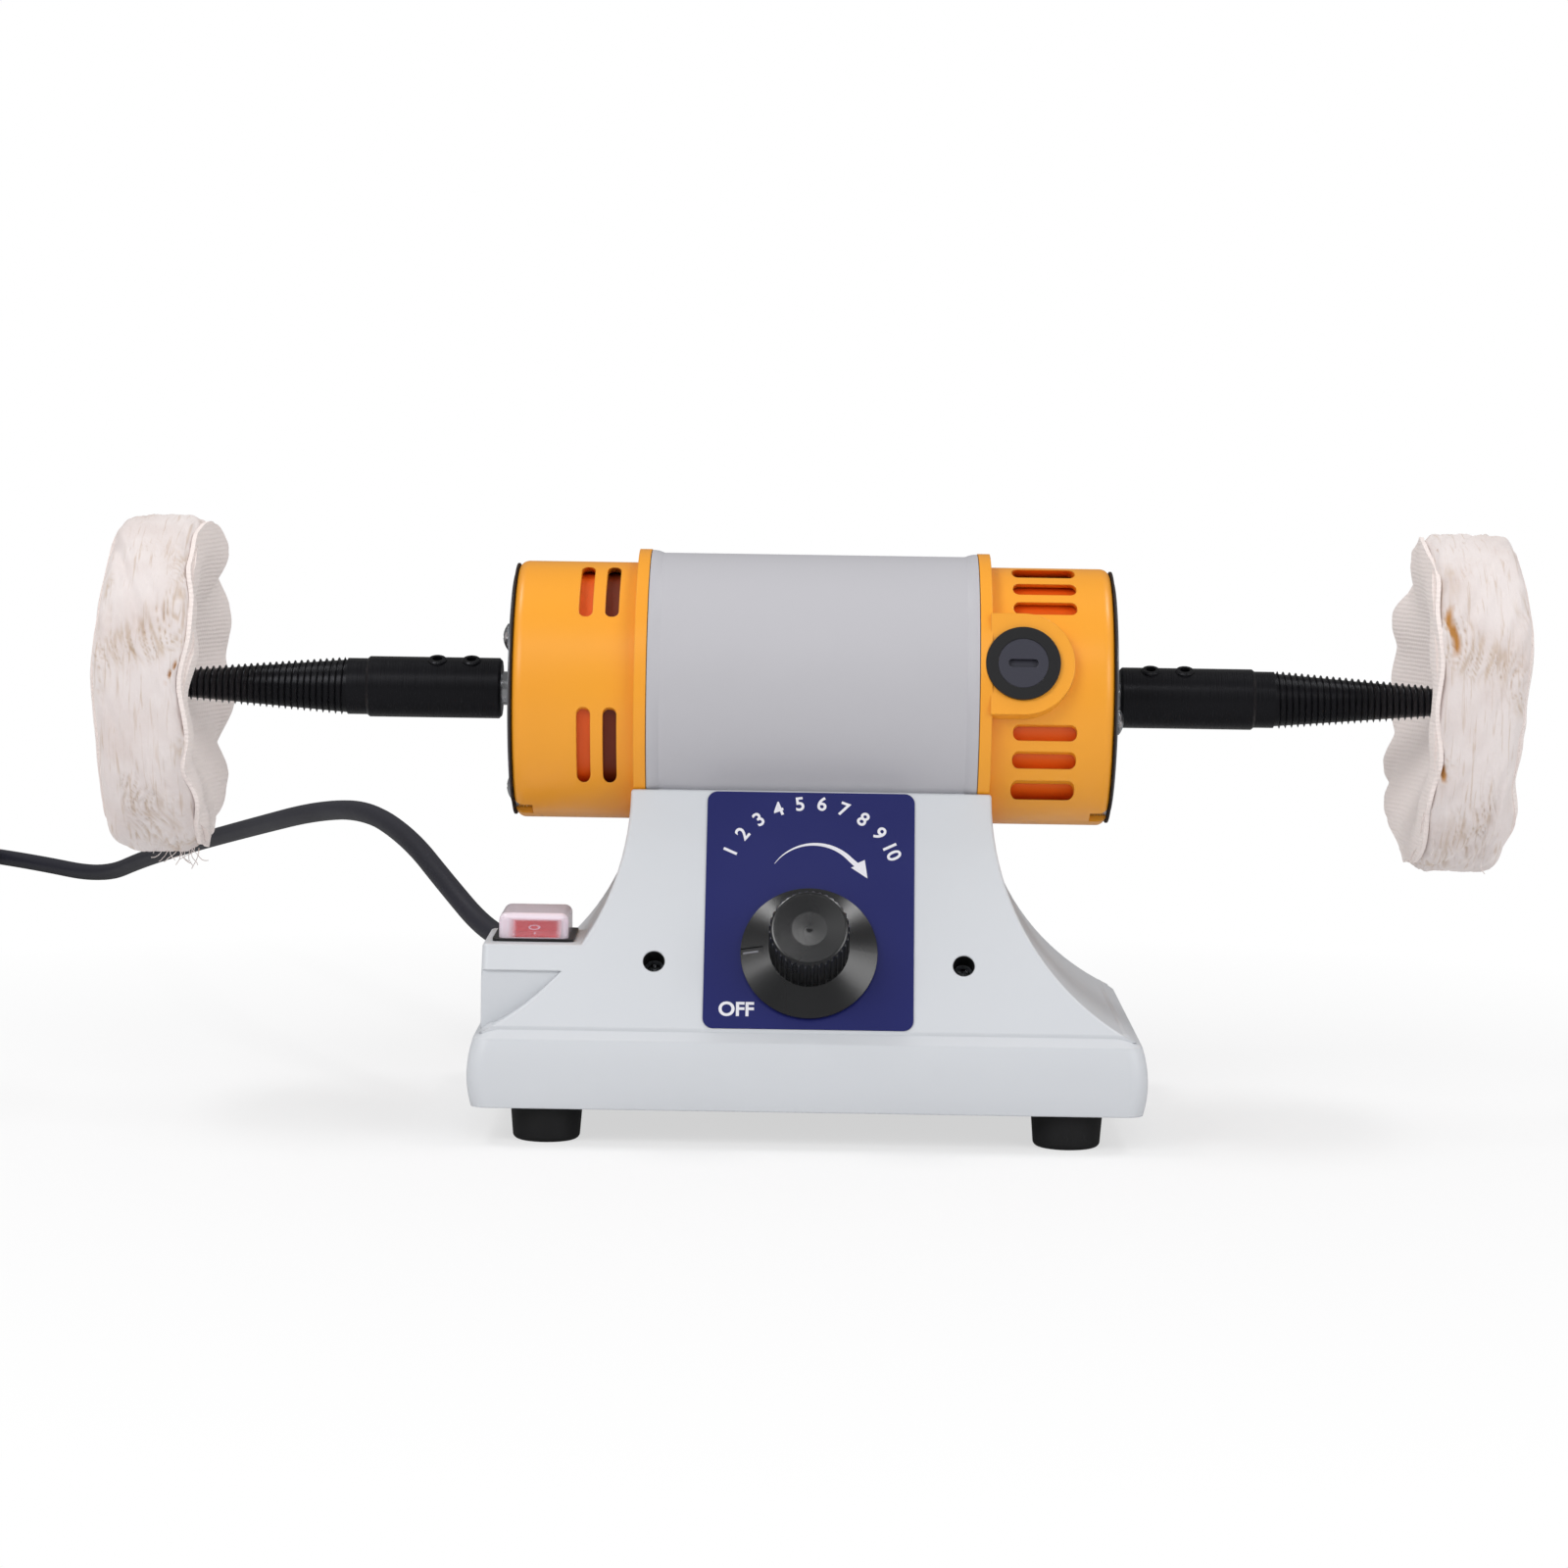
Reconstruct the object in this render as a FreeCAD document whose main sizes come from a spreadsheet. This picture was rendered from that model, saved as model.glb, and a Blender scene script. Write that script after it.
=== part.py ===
import FreeCAD, Part
import math
import os

import Sketcher

# Dental polishing lathe: a double-ended universal motor on a light moulded base, with a
# tapered screw spindle and a cotton buff on each end. Millimetres, +Z up, +X along the
# motor axis, the origin on the table under the middle of the machine.

os.makedirs("parts", exist_ok=True)
doc = FreeCAD.newDocument("polishing_lathe")
V = FreeCAD.Vector
X_AXIS = V(1, 0, 0)
Y_AXIS = V(0, 1, 0)

# ---------------------------------------------------------------- driving dimensions

SIZES = (
    # the knob reaches out in front of the base, so the machine stands this far back
    ("stand_back", 5.2),
    # general fits
    ("fit", 0.03),
    ("slip", 0.05),
    ("air", 0.4),
    # motor axis
    ("axis_height", 125.0),
    ("axis_offset", 4.0),
    ("pull_tilt", 17.0),
    # moulded base
    ("foot_height", 10.4),
    ("foot_radius", 10.35),
    ("foot_taper", 0.7),
    ("foot_recess_radius", 4.6),
    ("foot_recess_depth", 5.4),
    ("foot_spread", 74.5),
    ("foot_reach", 53.0),
    ("foot_screw_head", 3.8),
    ("foot_screw_rise", 2.4),
    ("foot_screw_shank", 1.75),
    ("foot_screw_length", 16.0),
    ("plinth_half_width", 95.7),
    ("plinth_half_depth", 66.0),
    ("plinth_bulge", 1.2),
    ("plinth_draw", 0.5),
    ("plinth_corner", 5.0),
    ("plinth_height", 19.6),
    ("ledge_rise", 3.3),
    ("ledge_run", 4.4),
    ("panel_lean", 26.3),
    ("tower_half_width", 52.3),
    ("tower_drop", 26.5),
    ("tower_shoulder", 1.5),
    ("edge_round", 1.0),
    ("chest_round", 2.0),
    ("flare_radius", 73.0),
    ("flare_margin", 2.0),
    ("wall", 2.6),
    ("saddle_wall", 3.2),
    ("end_room", 60.0),
    ("boss_radius", 5.2),
    ("plate_thickness", 2.0),
    # switch box at the left of the tower
    ("box_half_width", 93.6),
    ("box_rise", 22.2),
    ("box_back", 14.2),
    ("box_band", 7.2),
    ("box_step", 0.8),
    # front screws
    ("panel_screw_spread", 44.3),
    ("panel_screw_drop", 2.4),
    ("counterbore_radius", 3.15),
    ("counterbore_depth", 9.5),
    ("screw_boss_depth", 12.0),
    ("panel_screw_head", 2.9),
    ("panel_screw_rise", 2.0),
    ("panel_screw_shank", 1.7),
    ("panel_screw_length", 8.0),
    # label and knob
    ("label_half_width", 30.0),
    ("label_foot", 0.3),
    ("label_top", 0.3),
    ("label_corner", 3.0),
    ("label_thickness", 0.4),
    ("knob_rise", 20.5),
    ("skirt_radius", 19.6),
    ("skirt_lift", 0.5),
    ("skirt_edge", 0.8),
    ("skirt_cone", 3.8),
    ("grip_radius", 11.5),
    ("grip_draft", 0.1),
    ("grip_round", 1.4),
    ("grip_length", 17.6),
    ("flute_radius", 0.8),
    ("pointer_width", 1.8),
    ("pointer_depth", 0.7),
    ("pointer_length", 6.3),
    ("flute_count", 36.0),
    ("control_shaft_radius", 3.0),
    ("bushing_radius", 4.5),
    ("bushing_stand", 2.9),
    ("pot_radius", 8.5),
    ("pot_depth", 8.6),
    # control board behind the panel
    ("board_half_width", 31.0),
    ("board_half_height", 11.5),
    ("board_thickness", 1.6),
    ("board_stand", 4.0),
    ("bracket_sheet", 1.5),
    ("bracket_margin", 6.0),
    ("bracket_drop", 14.0),
    ("bracket_rise", 12.0),
    ("bracket_corner", 3.0),
    # switch
    ("switch_centre", 79.4),
    ("switch_middle", 31.3),
    ("bezel_width", 23.4),
    ("bezel_length", 29.0),
    ("bezel_height", 0.8),
    ("switch_body_width", 19.4),
    ("switch_body_length", 25.4),
    ("switch_body_depth", 21.0),
    ("rocker_width", 15.4),
    ("rocker_length", 21.4),
    ("rocker_tilt", 9.0),
    ("pivot_sink", 1.6),
    ("trunnion_radius", 1.1),
    ("trunnion_reach", 8.9),
    ("cover_width", 20.0),
    ("cover_length", 26.0),
    ("cover_height", 7.2),
    ("cover_wall", 1.0),
    ("cover_round", 2.2),
    # motor casing
    ("sleeve_radius", 41.0),
    ("sleeve_half_length", 48.0),
    ("sleeve_wall", 2.4),
    ("sleeve_flare", 0.8),
    ("flare_length", 3.5),
    ("flange_gap", 0.2),
    ("flange_radius", 42.0),
    ("flange_thickness", 3.5),
    ("cap_radius", 38.0),
    ("cap_length", 39.2),
    ("cap_wall", 2.6),
    ("cap_corner", 3.0),
    ("spigot_length", 3.0),
    ("gasket_radius", 37.3),
    ("gasket_thickness", 0.5),
    ("end_plate_radius", 34.5),
    ("end_plate_thickness", 0.6),
    ("end_screw_circle", 29.0),
    ("end_screw_radius", 3.9),
    ("end_screw_shank", 1.9),
    ("end_screw_turn_left", 35.0),
    ("end_screw_turn_right", -10.0),
    ("shaft_hole_radius", 7.0),
    ("notch_angle", 65.5),
    ("notch_length", 5.5),
    ("notch_half_width", 3.6),
    ("bracket_thickness", 3.0),
    ("bolt_spread", 20.0),
    ("bolt_radius", 2.5),
    ("bolt_grip", 8.0),
    # brush gear
    ("brush_station", 60.5),
    ("brush_boss_radius", 15.0),
    ("brush_boss_reach", 41.0),
    ("brush_collar_radius", 10.75),
    ("brush_collar_height", 1.1),
    ("brush_cap_radius", 7.25),
    ("brush_tube_radius", 6.0),
    ("brush_half_width", 2.5),
    ("brush_half_length", 3.5),
    ("brush_length", 13.0),
    ("brush_gap", 0.1),
    ("spring_wire", 0.3),
    ("spring_turns", 5.0),
    # vents
    ("vent_column_first", 58.7),
    ("vent_column_second", 66.3),
    ("vent_column_width", 4.0),
    ("vent_column_low", 13.5),
    ("vent_column_high", 32.3),
    ("vent_row_first", 18.5),
    ("vent_row_pitch", 7.0),
    ("vent_row_height", 4.2),
    ("vent_row_inner", 58.0),
    ("vent_row_outer", 76.5),
    # bearings
    ("bearing_station", 78.4),
    ("bearing_width", 8.0),
    ("bearing_radius", 13.0),
    ("bearing_seat_wall", 3.0),
    ("outer_race_radius", 10.9),
    ("inner_race_radius", 7.1),
    ("ball_radius", 2.38),
    ("ball_count", 8.0),
    # stator and rotor
    ("stator_half_length", 26.0),
    ("yoke_thickness", 6.0),
    ("pole_half_width", 11.0),
    ("shoe_half_width", 17.0),
    ("shoe_thickness", 4.5),
    ("coil_half_width", 17.0),
    ("coil_half_length", 35.0),
    ("armature_radius", 19.5),
    ("air_gap", 0.6),
    ("slot_count", 12.0),
    ("slot_width", 2.6),
    ("slot_depth", 8.0),
    ("end_turn_length", 12.0),
    ("end_turn_radius", 17.5),
    ("commutator_radius", 13.0),
    ("commutator_half_length", 9.0),
    ("segment_count", 24.0),
    ("segment_gap", 0.6),
    ("shaft_radius", 5.0),
    ("shaft_core_radius", 6.5),
    ("shaft_half_length", 120.0),
    ("fan_radius", 32.5),
    ("fan_station", 54.5),
    ("fan_width", 12.0),
    ("fan_disc", 1.6),
    ("fan_blades", 9.0),
    # spindles
    ("left_spindle_start", 92.3),
    ("right_spindle_start", 91.0),
    ("spindle_radius", 9.0),
    ("spindle_body", 40.0),
    ("spindle_neck_radius", 8.35),
    ("spindle_neck", 5.8),
    ("thread_root_radius", 7.85),
    ("thread_tip_radius", 2.6),
    ("thread_length", 65.0),
    ("set_screw_first", 9.0),
    ("set_screw_pitch", 10.1),
    ("set_screw_radius", 2.9),
    ("set_screw_lean", 68.0),
    ("set_screw_stand", 0.5),
    # buff wheels
    ("wheel_radius", 50.0),
    ("wheel_overhang", 4.1),
    ("wheel_rim_width", 26.0),
    ("wheel_hub_radius", 13.0),
    ("wheel_hub_width", 11.0),
    # cord
    ("cord_radius", 3.4),
    ("grip_length_out", 22.0),
    ("coil_turn_radius", 36.0),
    ("coil_stack", 13.6),
    ("plug_start", 19.0),
    ("plug_radius", 13.0),
    ("plug_length", 56.0),
    ("pin_radius", 2.0),
    ("pin_length", 19.0),
    ("pin_spread", 9.5),
)

sizes = doc.addObject("Spreadsheet::Sheet", "Sizes")
for row, (alias, amount) in enumerate(SIZES, start=1):
    sizes.set(f"A{row}", alias)
    sizes.set(f"B{row}", str(amount))
    sizes.setAlias(f"B{row}", alias)
doc.recompute()


def tied(expression):
    """The expression with each size's name led by the sheet's name."""
    words, word = [], ""
    for letter in str(expression) + " ":
        if letter.isalnum() or letter in "_.":
            word += letter
            continue
        words.append(f"Sizes.{word}" if word in NAMES else word)
        words.append(letter)
        word = ""
    return "".join(words).strip()


NAMES = {alias for alias, _ in SIZES}


def number(expression):
    """What an expression of the sizes comes to now."""
    return float(sizes.evalExpression(tied(expression)))


# Levels and places that several pieces share.
PLINTH_TOP = "(foot_height + plinth_height)"
LEDGE_TOP = f"({PLINTH_TOP} + ledge_rise)"
TOWER_TOP = "(axis_height - tower_drop)"
TOWER_HEIGHT = f"({TOWER_TOP} - {LEDGE_TOP})"
PANEL_FOOT = "(plinth_half_depth - ledge_run + 0.6)"
BOX_TOP = f"({LEDGE_TOP} + box_rise)"
CAP_FACE = "(sleeve_half_length + flange_gap)"
CAP_END = f"({CAP_FACE} + cap_length)"
PLATE_FACE = f"({CAP_END} + gasket_thickness)"
SLEEVE_BORE = "(sleeve_radius - sleeve_wall)"
CAP_BORE = "(cap_radius - cap_wall)"
# A flare ends this far inside the plinth's side, and rises no higher than that allows.
FLARE_RUN = "min(plinth_half_width - tower_half_width - flare_margin; flare_radius)"
FLARE_RISE = f"sqrt(flare_radius^2 - (flare_radius - {FLARE_RUN})^2)"
KNOB_LEVEL = f"({LEDGE_TOP} + knob_rise)"
KNOB_Y = f"(knob_rise * tan(panel_lean) - {PANEL_FOOT})"
SCREW_LEVEL = f"({KNOB_LEVEL} - panel_screw_drop)"
SCREW_Y = f"((knob_rise - panel_screw_drop) * tan(panel_lean) - {PANEL_FOOT})"

# ---------------------------------------------------------------- modelling helpers

kept = []


def keep(item, label, in_place=False):
    """Name a finished sub-part and stand it in the machine's own frame."""
    item.Label = label
    if not in_place:
        bound = dict(item.ExpressionEngine)
        here = bound.get("Placement.Base.y", bound.get(".Placement.Base.y", "0"))
        item.setExpression("Placement.Base.y", f"({here}) + Sizes.stand_back")
    kept.append(item)
    return item


def bind(item, **expressions):
    for name, expression in expressions.items():
        item.setExpression(name, tied(expression))
    return item


def place(item, x="0", y="0", z="0", axis=None, angle="0"):
    """Stand an object at a place, turned about an axis, both from the sizes."""
    if axis is not None:
        turn = FreeCAD.Rotation(axis, number(angle))
        item.Placement = FreeCAD.Placement(V(), turn)
        item.setExpression("Placement.Rotation.Angle", tied(angle))
    for letter, amount in zip("xyz", (x, y, z)):
        item.setExpression(f"Placement.Base.{letter}", tied(amount))
    return item


def on_motor_axis(item):
    return place(item, y="axis_offset", z="axis_height")


def on_panel(item, x="0", up=KNOB_LEVEL, y=KNOB_Y):
    """Local +Z stands out of the sloping front, local +Y runs up it."""
    return place(item, x, y, up, X_AXIS, "90 - panel_lean")


def on_brush_line(item, side):
    """Local +Z runs out along a brush: side 0 is the front brush, 1 the back one."""
    return place(
        item, "brush_station", "axis_offset", "axis_height",
        X_AXIS, f"90 - pull_tilt + 180 * {side}",
    )


def new_body(name):
    return doc.addObject("PartDesign::Body", name)


def sketch_on(body, plane, level=None, turn=None):
    """A sketch on one of the body's own origin planes, lifted or tilted from it."""
    drawn = body.newObject("Sketcher::SketchObject", f"{body.Name}_sketch")
    support = [f for f in body.Origin.OriginFeatures if f.Role == plane][0]
    drawn.AttachmentSupport = (support, [""])
    drawn.MapMode = "FlatFace"
    if turn is not None:
        turned = FreeCAD.Rotation(X_AXIS, number(turn))
        drawn.AttachmentOffset = FreeCAD.Placement(V(), turned)
        drawn.setExpression("AttachmentOffset.Rotation.Angle", tied(turn))
    if level is not None:
        drawn.setExpression("AttachmentOffset.Base.z", tied(level))
    return drawn


def fix_point(drawn, index, which, x, y):
    for kind, amount in (("DistanceX", x), ("DistanceY", y)):
        held = drawn.addConstraint(
            Sketcher.Constraint(kind, -1, 1, index, which, number(amount))
        )
        drawn.setExpression(f"Constraints[{held}]", tied(amount))


def outline(drawn, corners):
    """A closed outline. A corner is (x, y), or (x, y, radius, side) where an arc leads to
    the next corner: side 1 has its centre on the left of the way there, -1 on the right."""
    spots = [V(number(c[0]), number(c[1]), 0) for c in corners]
    ends = []
    for i, corner in enumerate(corners):
        a, b = spots[i], spots[(i + 1) % len(spots)]
        if len(corner) == 2:
            edge = drawn.addGeometry(Part.LineSegment(a, b))
            ends.append((edge, 1, 2))
            continue
        radius, side = number(corner[2]), corner[3]
        half = (b - a) * 0.5
        rise = math.sqrt(max(radius**2 - half.Length**2, 0.0))
        left = V(-half.y, half.x, 0).normalize() * side
        centre = a + half + left * rise
        first, last = (a, b) if side > 0 else (b, a)
        start = math.atan2(first.y - centre.y, first.x - centre.x)
        stop = math.atan2(last.y - centre.y, last.x - centre.x)
        ring = Part.Circle(centre, V(0, 0, 1), radius)
        edge = drawn.addGeometry(Part.ArcOfCircle(ring, start, stop))
        ends.append((edge, 1, 2) if side > 0 else (edge, 2, 1))
    for i, (edge, _, stop) in enumerate(ends):
        after, start, _ = ends[(i + 1) % len(ends)]
        drawn.addConstraint(Sketcher.Constraint("Coincident", edge, stop, after, start))
    for (edge, start, _), corner in zip(ends, corners):
        fix_point(drawn, edge, start, corner[0], corner[1])
        if len(corner) > 2:
            held = drawn.addConstraint(
                Sketcher.Constraint("Radius", edge, number(corner[2]))
            )
            drawn.setExpression(f"Constraints[{held}]", tied(corner[2]))
    return drawn


def circle(drawn, x, y, radius):
    edge = drawn.addGeometry(
        Part.Circle(V(number(x), number(y), 0), V(0, 0, 1), number(radius))
    )
    fix_point(drawn, edge, 3, x, y)
    held = drawn.addConstraint(Sketcher.Constraint("Radius", edge, number(radius)))
    drawn.setExpression(f"Constraints[{held}]", tied(radius))
    return drawn


def rounded(drawn, left, right, low, high, r):
    """A rectangle with rounded corners between two x and two y values."""
    return outline(drawn, [
        (f"{left} + {r}", low), (f"{right} - {r}", low, r, 1),
        (right, f"{low} + {r}"), (right, f"{high} - {r}", r, 1),
        (f"{right} - {r}", high), (f"{left} + {r}", high, r, 1),
        (left, f"{high} - {r}"), (left, f"{low} + {r}", r, 1),
    ])


def box_outline(drawn, left, right, low, high):
    return outline(drawn, [(left, low), (right, low), (right, high), (left, high)])


def feature(body, kind, drawn, length=None, both=False, back=False):
    made = body.newObject(f"PartDesign::{kind}", f"{drawn.Name}_{kind}")
    made.Profile = drawn
    if length is not None:
        made.SideType = "Symmetric" if both else "One side"
        made.Reversed = back
        made.setExpression("Length", tied(length))
    return made


def turned(body, corners, kind="Revolution"):
    """Turn an outline of (place along X, radius) about the body's X axis."""
    drawn = outline(sketch_on(body, "XZ_Plane"), corners)
    made = body.newObject(f"PartDesign::{kind}", f"{drawn.Name}_{kind}")
    made.Profile = drawn
    made.ReferenceAxis = (drawn, ["H_Axis"])
    return made


def spun(body, corners, kind="Revolution"):
    """Turn an outline of (radius, height) about the body's Z axis."""
    drawn = outline(sketch_on(body, "XZ_Plane"), corners)
    made = body.newObject(f"PartDesign::{kind}", f"{drawn.Name}_{kind}")
    made.Profile = drawn
    made.ReferenceAxis = (drawn, ["V_Axis"])
    return made


def around(body, original, plane_axis, count):
    """Repeat a feature about one of the body's axes; the count comes from the sizes."""
    ring = body.newObject("PartDesign::PolarPattern", f"{original.Name}_ring")
    ring.Originals = [original]
    axis = [f for f in body.Origin.OriginFeatures if f.Role == plane_axis][0]
    ring.Axis = (axis, [""])
    ring.Angle = 360
    ring.setExpression("Occurrences", tied(count))
    body.Tip = ring
    return ring


def rod(name, radius, length):
    return bind(doc.addObject("Part::Cylinder", name), Radius=radius, Height=length)


def block(name, length, width, height):
    return bind(doc.addObject("Part::Box", name), Length=length, Width=width, Height=height)


def cut(name, base, tool):
    made = doc.addObject("Part::Cut", name)
    made.Base, made.Tool = base, tool
    return made


def common(name, base, tool):
    made = doc.addObject("Part::Common", name)
    made.Base, made.Tool = base, tool
    return made


def joined(name, *items):
    made = doc.addObject("Part::MultiFuse", name)
    made.Shapes = list(items)
    return made


def group(name, *items):
    made = doc.addObject("Part::Compound", name)
    made.Links = list(items)
    return made


def ring_of(name, outer, inner, length):
    """A plain tube standing on its own origin along +Z."""
    body = new_body(name)
    drawn = sketch_on(body, "XY_Plane")
    circle(drawn, "0", "0", outer)
    circle(drawn, "0", "0", inner)
    feature(body, "Pad", drawn, length)
    return body


SIDES = (-1, 1)

# ---------------------------------------------------------------- moulded base


def base_form(name, inset):
    """The base's outer form, or the same form drawn in by the wall for its hollow."""
    body = new_body(name)
    low = "foot_height" if inset == "0" else "foot_height - 1"
    rings = (
        (low, "0"),
        ("foot_height + plinth_height / 2", "plinth_bulge"),
        (PLINTH_TOP, "- plinth_draw"),
    )
    sections = []
    for level, swell in rings:
        lifted = f"{level} - {inset}" if level == PLINTH_TOP else level
        drawn = sketch_on(body, "XY_Plane", lifted)
        wide = f"(plinth_half_width + {swell} - {inset})"
        deep = f"(plinth_half_depth + {swell} - {inset})"
        corner = f"(plinth_corner - {inset})"
        rounded(drawn, f"-{wide}", wide, f"-{deep}", deep, corner)
        sections.append(drawn)
    plinth = body.newObject("PartDesign::AdditiveLoft", f"{name}_plinth")
    plinth.Profile = sections[0]
    plinth.Sections = sections[1:]
    # The sloping ledge that leads up to the foot of the tower.
    rim = sketch_on(body, "XY_Plane", f"{LEDGE_TOP} - {inset}")
    wide = f"(plinth_half_width - plinth_draw - ledge_run - {inset})"
    deep = f"(plinth_half_depth - plinth_draw - ledge_run - {inset})"
    rounded(rim, f"-{wide}", wide, f"-{deep}", deep, f"(plinth_corner - {inset})")
    ledge = body.newObject("PartDesign::AdditiveLoft", f"{name}_ledge")
    ledge.Profile = sections[2]
    ledge.Sections = [rim]
    ledge.Ruled = True
    # The tower seen from the front: straight shoulders, then a wide concave flare.
    foot = f"({LEDGE_TOP} - 2 - {inset})"
    side = f"(tower_half_width - {inset})"
    sweep = f"(flare_radius + {inset})"
    shoulder = f"min({TOWER_TOP} - tower_shoulder; {LEDGE_TOP} - 2 + {FLARE_RISE})"
    out = f"({side} + {sweep} - sqrt({sweep}^2 - ({shoulder} - {foot})^2))"
    front = outline(sketch_on(body, "XZ_Plane"), [
        (f"-{out}", foot), (out, foot, sweep, -1), (side, shoulder),
        (side, TOWER_TOP), (f"-{side}", TOWER_TOP), (f"-{side}", shoulder, sweep, -1),
    ])
    feature(body, "Pad", front, f"2 * ({PANEL_FOOT} - {inset} / cos(panel_lean))", True)
    # The switch box on the left of the tower, with an upright wall under its front band.
    lean = "tan(panel_lean)"
    drawn_in = f"{inset} / cos(panel_lean)"
    top = f"({BOX_TOP} - {inset})"
    edge = f"({BOX_TOP} - box_band)"
    chest = outline(sketch_on(body, "YZ_Plane", f"-(box_half_width - {inset})"), [
        (f"(box_rise - box_band) * {lean} - {PANEL_FOOT} + box_step + {drawn_in}", foot),
        (f"-(box_back + {inset})", foot),
        (f"-(box_back + {inset})", top),
        (f"(box_rise - {inset}) * {lean} - {PANEL_FOOT} + {drawn_in}", top),
        (f"(box_rise - box_band) * {lean} - {PANEL_FOOT} + {drawn_in}", edge),
        (f"(box_rise - box_band) * {lean} - {PANEL_FOOT} + box_step + {drawn_in}", edge),
    ])
    feature(body, "Pad", chest, "box_half_width - tower_half_width")
    # The front and the back lean in to the top.
    width = "4 * plinth_half_width"
    front_top = f"({TOWER_HEIGHT} * {lean} - {PANEL_FOOT} + {drawn_in})"
    back_top = "(2 * axis_offset - "
    for toe, crest, away in (
        (f"(-{PANEL_FOOT} + {drawn_in})", front_top, "-200"),
        (f"({PANEL_FOOT} - {drawn_in})", f"{back_top}{front_top})", "200"),
    ):
        wedge = outline(sketch_on(body, "YZ_Plane"), [
            (away, LEDGE_TOP), (toe, LEDGE_TOP), (crest, TOWER_TOP),
            (crest, f"{TOWER_TOP} + 20"), (away, f"{TOWER_TOP} + 20"),
        ])
        feature(body, "Pocket", wedge, width, True)
    return body


NEAR = 0.01


def corner_edge(edge):
    """True for the switch box's two outer uprights, which end at its top."""
    ends = sorted((corner.Point for corner in edge.Vertexes), key=lambda end: end.z)
    outer = all(abs(end.x + number("box_half_width")) < NEAR for end in ends)
    tall = ends[-1].z - ends[0].z > number("chest_round")
    return outer and tall and abs(ends[-1].z - number(BOX_TOP)) < NEAR


def soft_edge(edge):
    """True for the rims of the flares, for all that meets the tower's top, and for the
    outer edges of the switch box's top. The rim in the recess is rounded where it runs out
    to the ledge's own rim."""
    ends = [corner.Point for corner in edge.Vertexes]
    tower = any(abs(end.z - number(TOWER_TOP)) < NEAR for end in ends)
    lid = all(abs(end.z - number(BOX_TOP)) < NEAR for end in ends)
    reach = min(end.x for end in ends) + number("box_half_width")
    flare = isinstance(edge.Curve, Part.Ellipse) and edge.Length > number("ledge_run")
    band = number(BOX_TOP) - number("box_band") + NEAR
    rim, soft = number("plinth_half_width - plinth_draw - ledge_run"), number("edge_round")
    short = all(end.z < band for end in ends) and min(end.x for end in ends) > 2 * soft - rim
    return tower or (flare and not short) or (lid and reach < number("chest_round") + NEAR)


def soften(body, radius, pick):
    """Round those edges of the body's present form that pick says."""
    doc.recompute()
    form = body.Tip
    names = [f"Edge{i}" for i, edge in enumerate(form.Shape.Edges, start=1) if pick(edge)]
    made = body.newObject("PartDesign::Fillet", f"{body.Name}_rounds")
    made.Base = (form, names)
    return bind(made, Radius=radius)


def base_solid(name, inset):
    """The base form with the motor's round bed taken out of it."""
    body = base_form(name, inset)
    if inset == "0":
        soften(body, "chest_round", corner_edge)
        soften(body, "edge_round", soft_edge)
    under = "0" if inset == "0" else "saddle_wall"
    inner = "(sleeve_half_length - flare_length - slip)"
    middle = rod(f"{name}_bed", f"sleeve_radius + slip + {under}", f"2 * {inner}")
    tools = [place(middle, f"-{inner}", "axis_offset", "axis_height", Y_AXIS, "90")]
    for side in SIDES:
        end = rod(f"{name}_flange_bed", f"flange_radius + air + {under}", "end_room")
        start = inner if side > 0 else f"-{inner} - end_room"
        place(end, start, "axis_offset", "axis_height", Y_AXIS, "90")
        tools.append(end)
    return cut(f"{name}_bedded", body, joined(f"{name}_beds", *tools))


outer = base_solid("base_outer", "0")
hollow = base_solid("base_hollow", "wall")

bosses = []
holes = []
for sx in SIDES:
    for sy in SIDES:
        post = rod("foot_boss", "boss_radius", "60")
        bosses.append(place(
            post, f"{sx} * foot_spread", f"{sy} * foot_reach",
            "foot_height + plate_thickness",
        ))
        pilot = rod("foot_pilot", "1.8", "14")
        holes.append(place(
            pilot, f"{sx} * foot_spread", f"{sy} * foot_reach",
            "foot_height + plate_thickness - 0.5",
        ))
    post = rod("panel_boss", "boss_radius", "screw_boss_depth + 4")
    post.Placement = FreeCAD.Placement()
    sunk_y = f"({SCREW_Y} + screw_boss_depth * cos(panel_lean))"
    sunk_z = f"({SCREW_LEVEL} - screw_boss_depth * sin(panel_lean))"
    bosses.append(on_panel(post, f"{sx} * panel_screw_spread", sunk_z, sunk_y))
    bore = rod("panel_counterbore", "counterbore_radius", "counterbore_depth + 6")
    bore_y = f"({SCREW_Y} + counterbore_depth * cos(panel_lean))"
    bore_z = f"({SCREW_LEVEL} - counterbore_depth * sin(panel_lean))"
    holes.append(on_panel(bore, f"{sx} * panel_screw_spread", bore_z, bore_y))
    thin = rod("panel_pilot", "1.8", "screw_boss_depth + 4")
    holes.append(on_panel(thin, f"{sx} * panel_screw_spread", sunk_z, sunk_y))
    bolt_hole = rod("saddle_hole", "bolt_radius + slip", "20")
    holes.append(place(bolt_hole, f"{sx} * bolt_spread", "axis_offset",
                       "axis_height - sleeve_radius - 12"))

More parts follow.
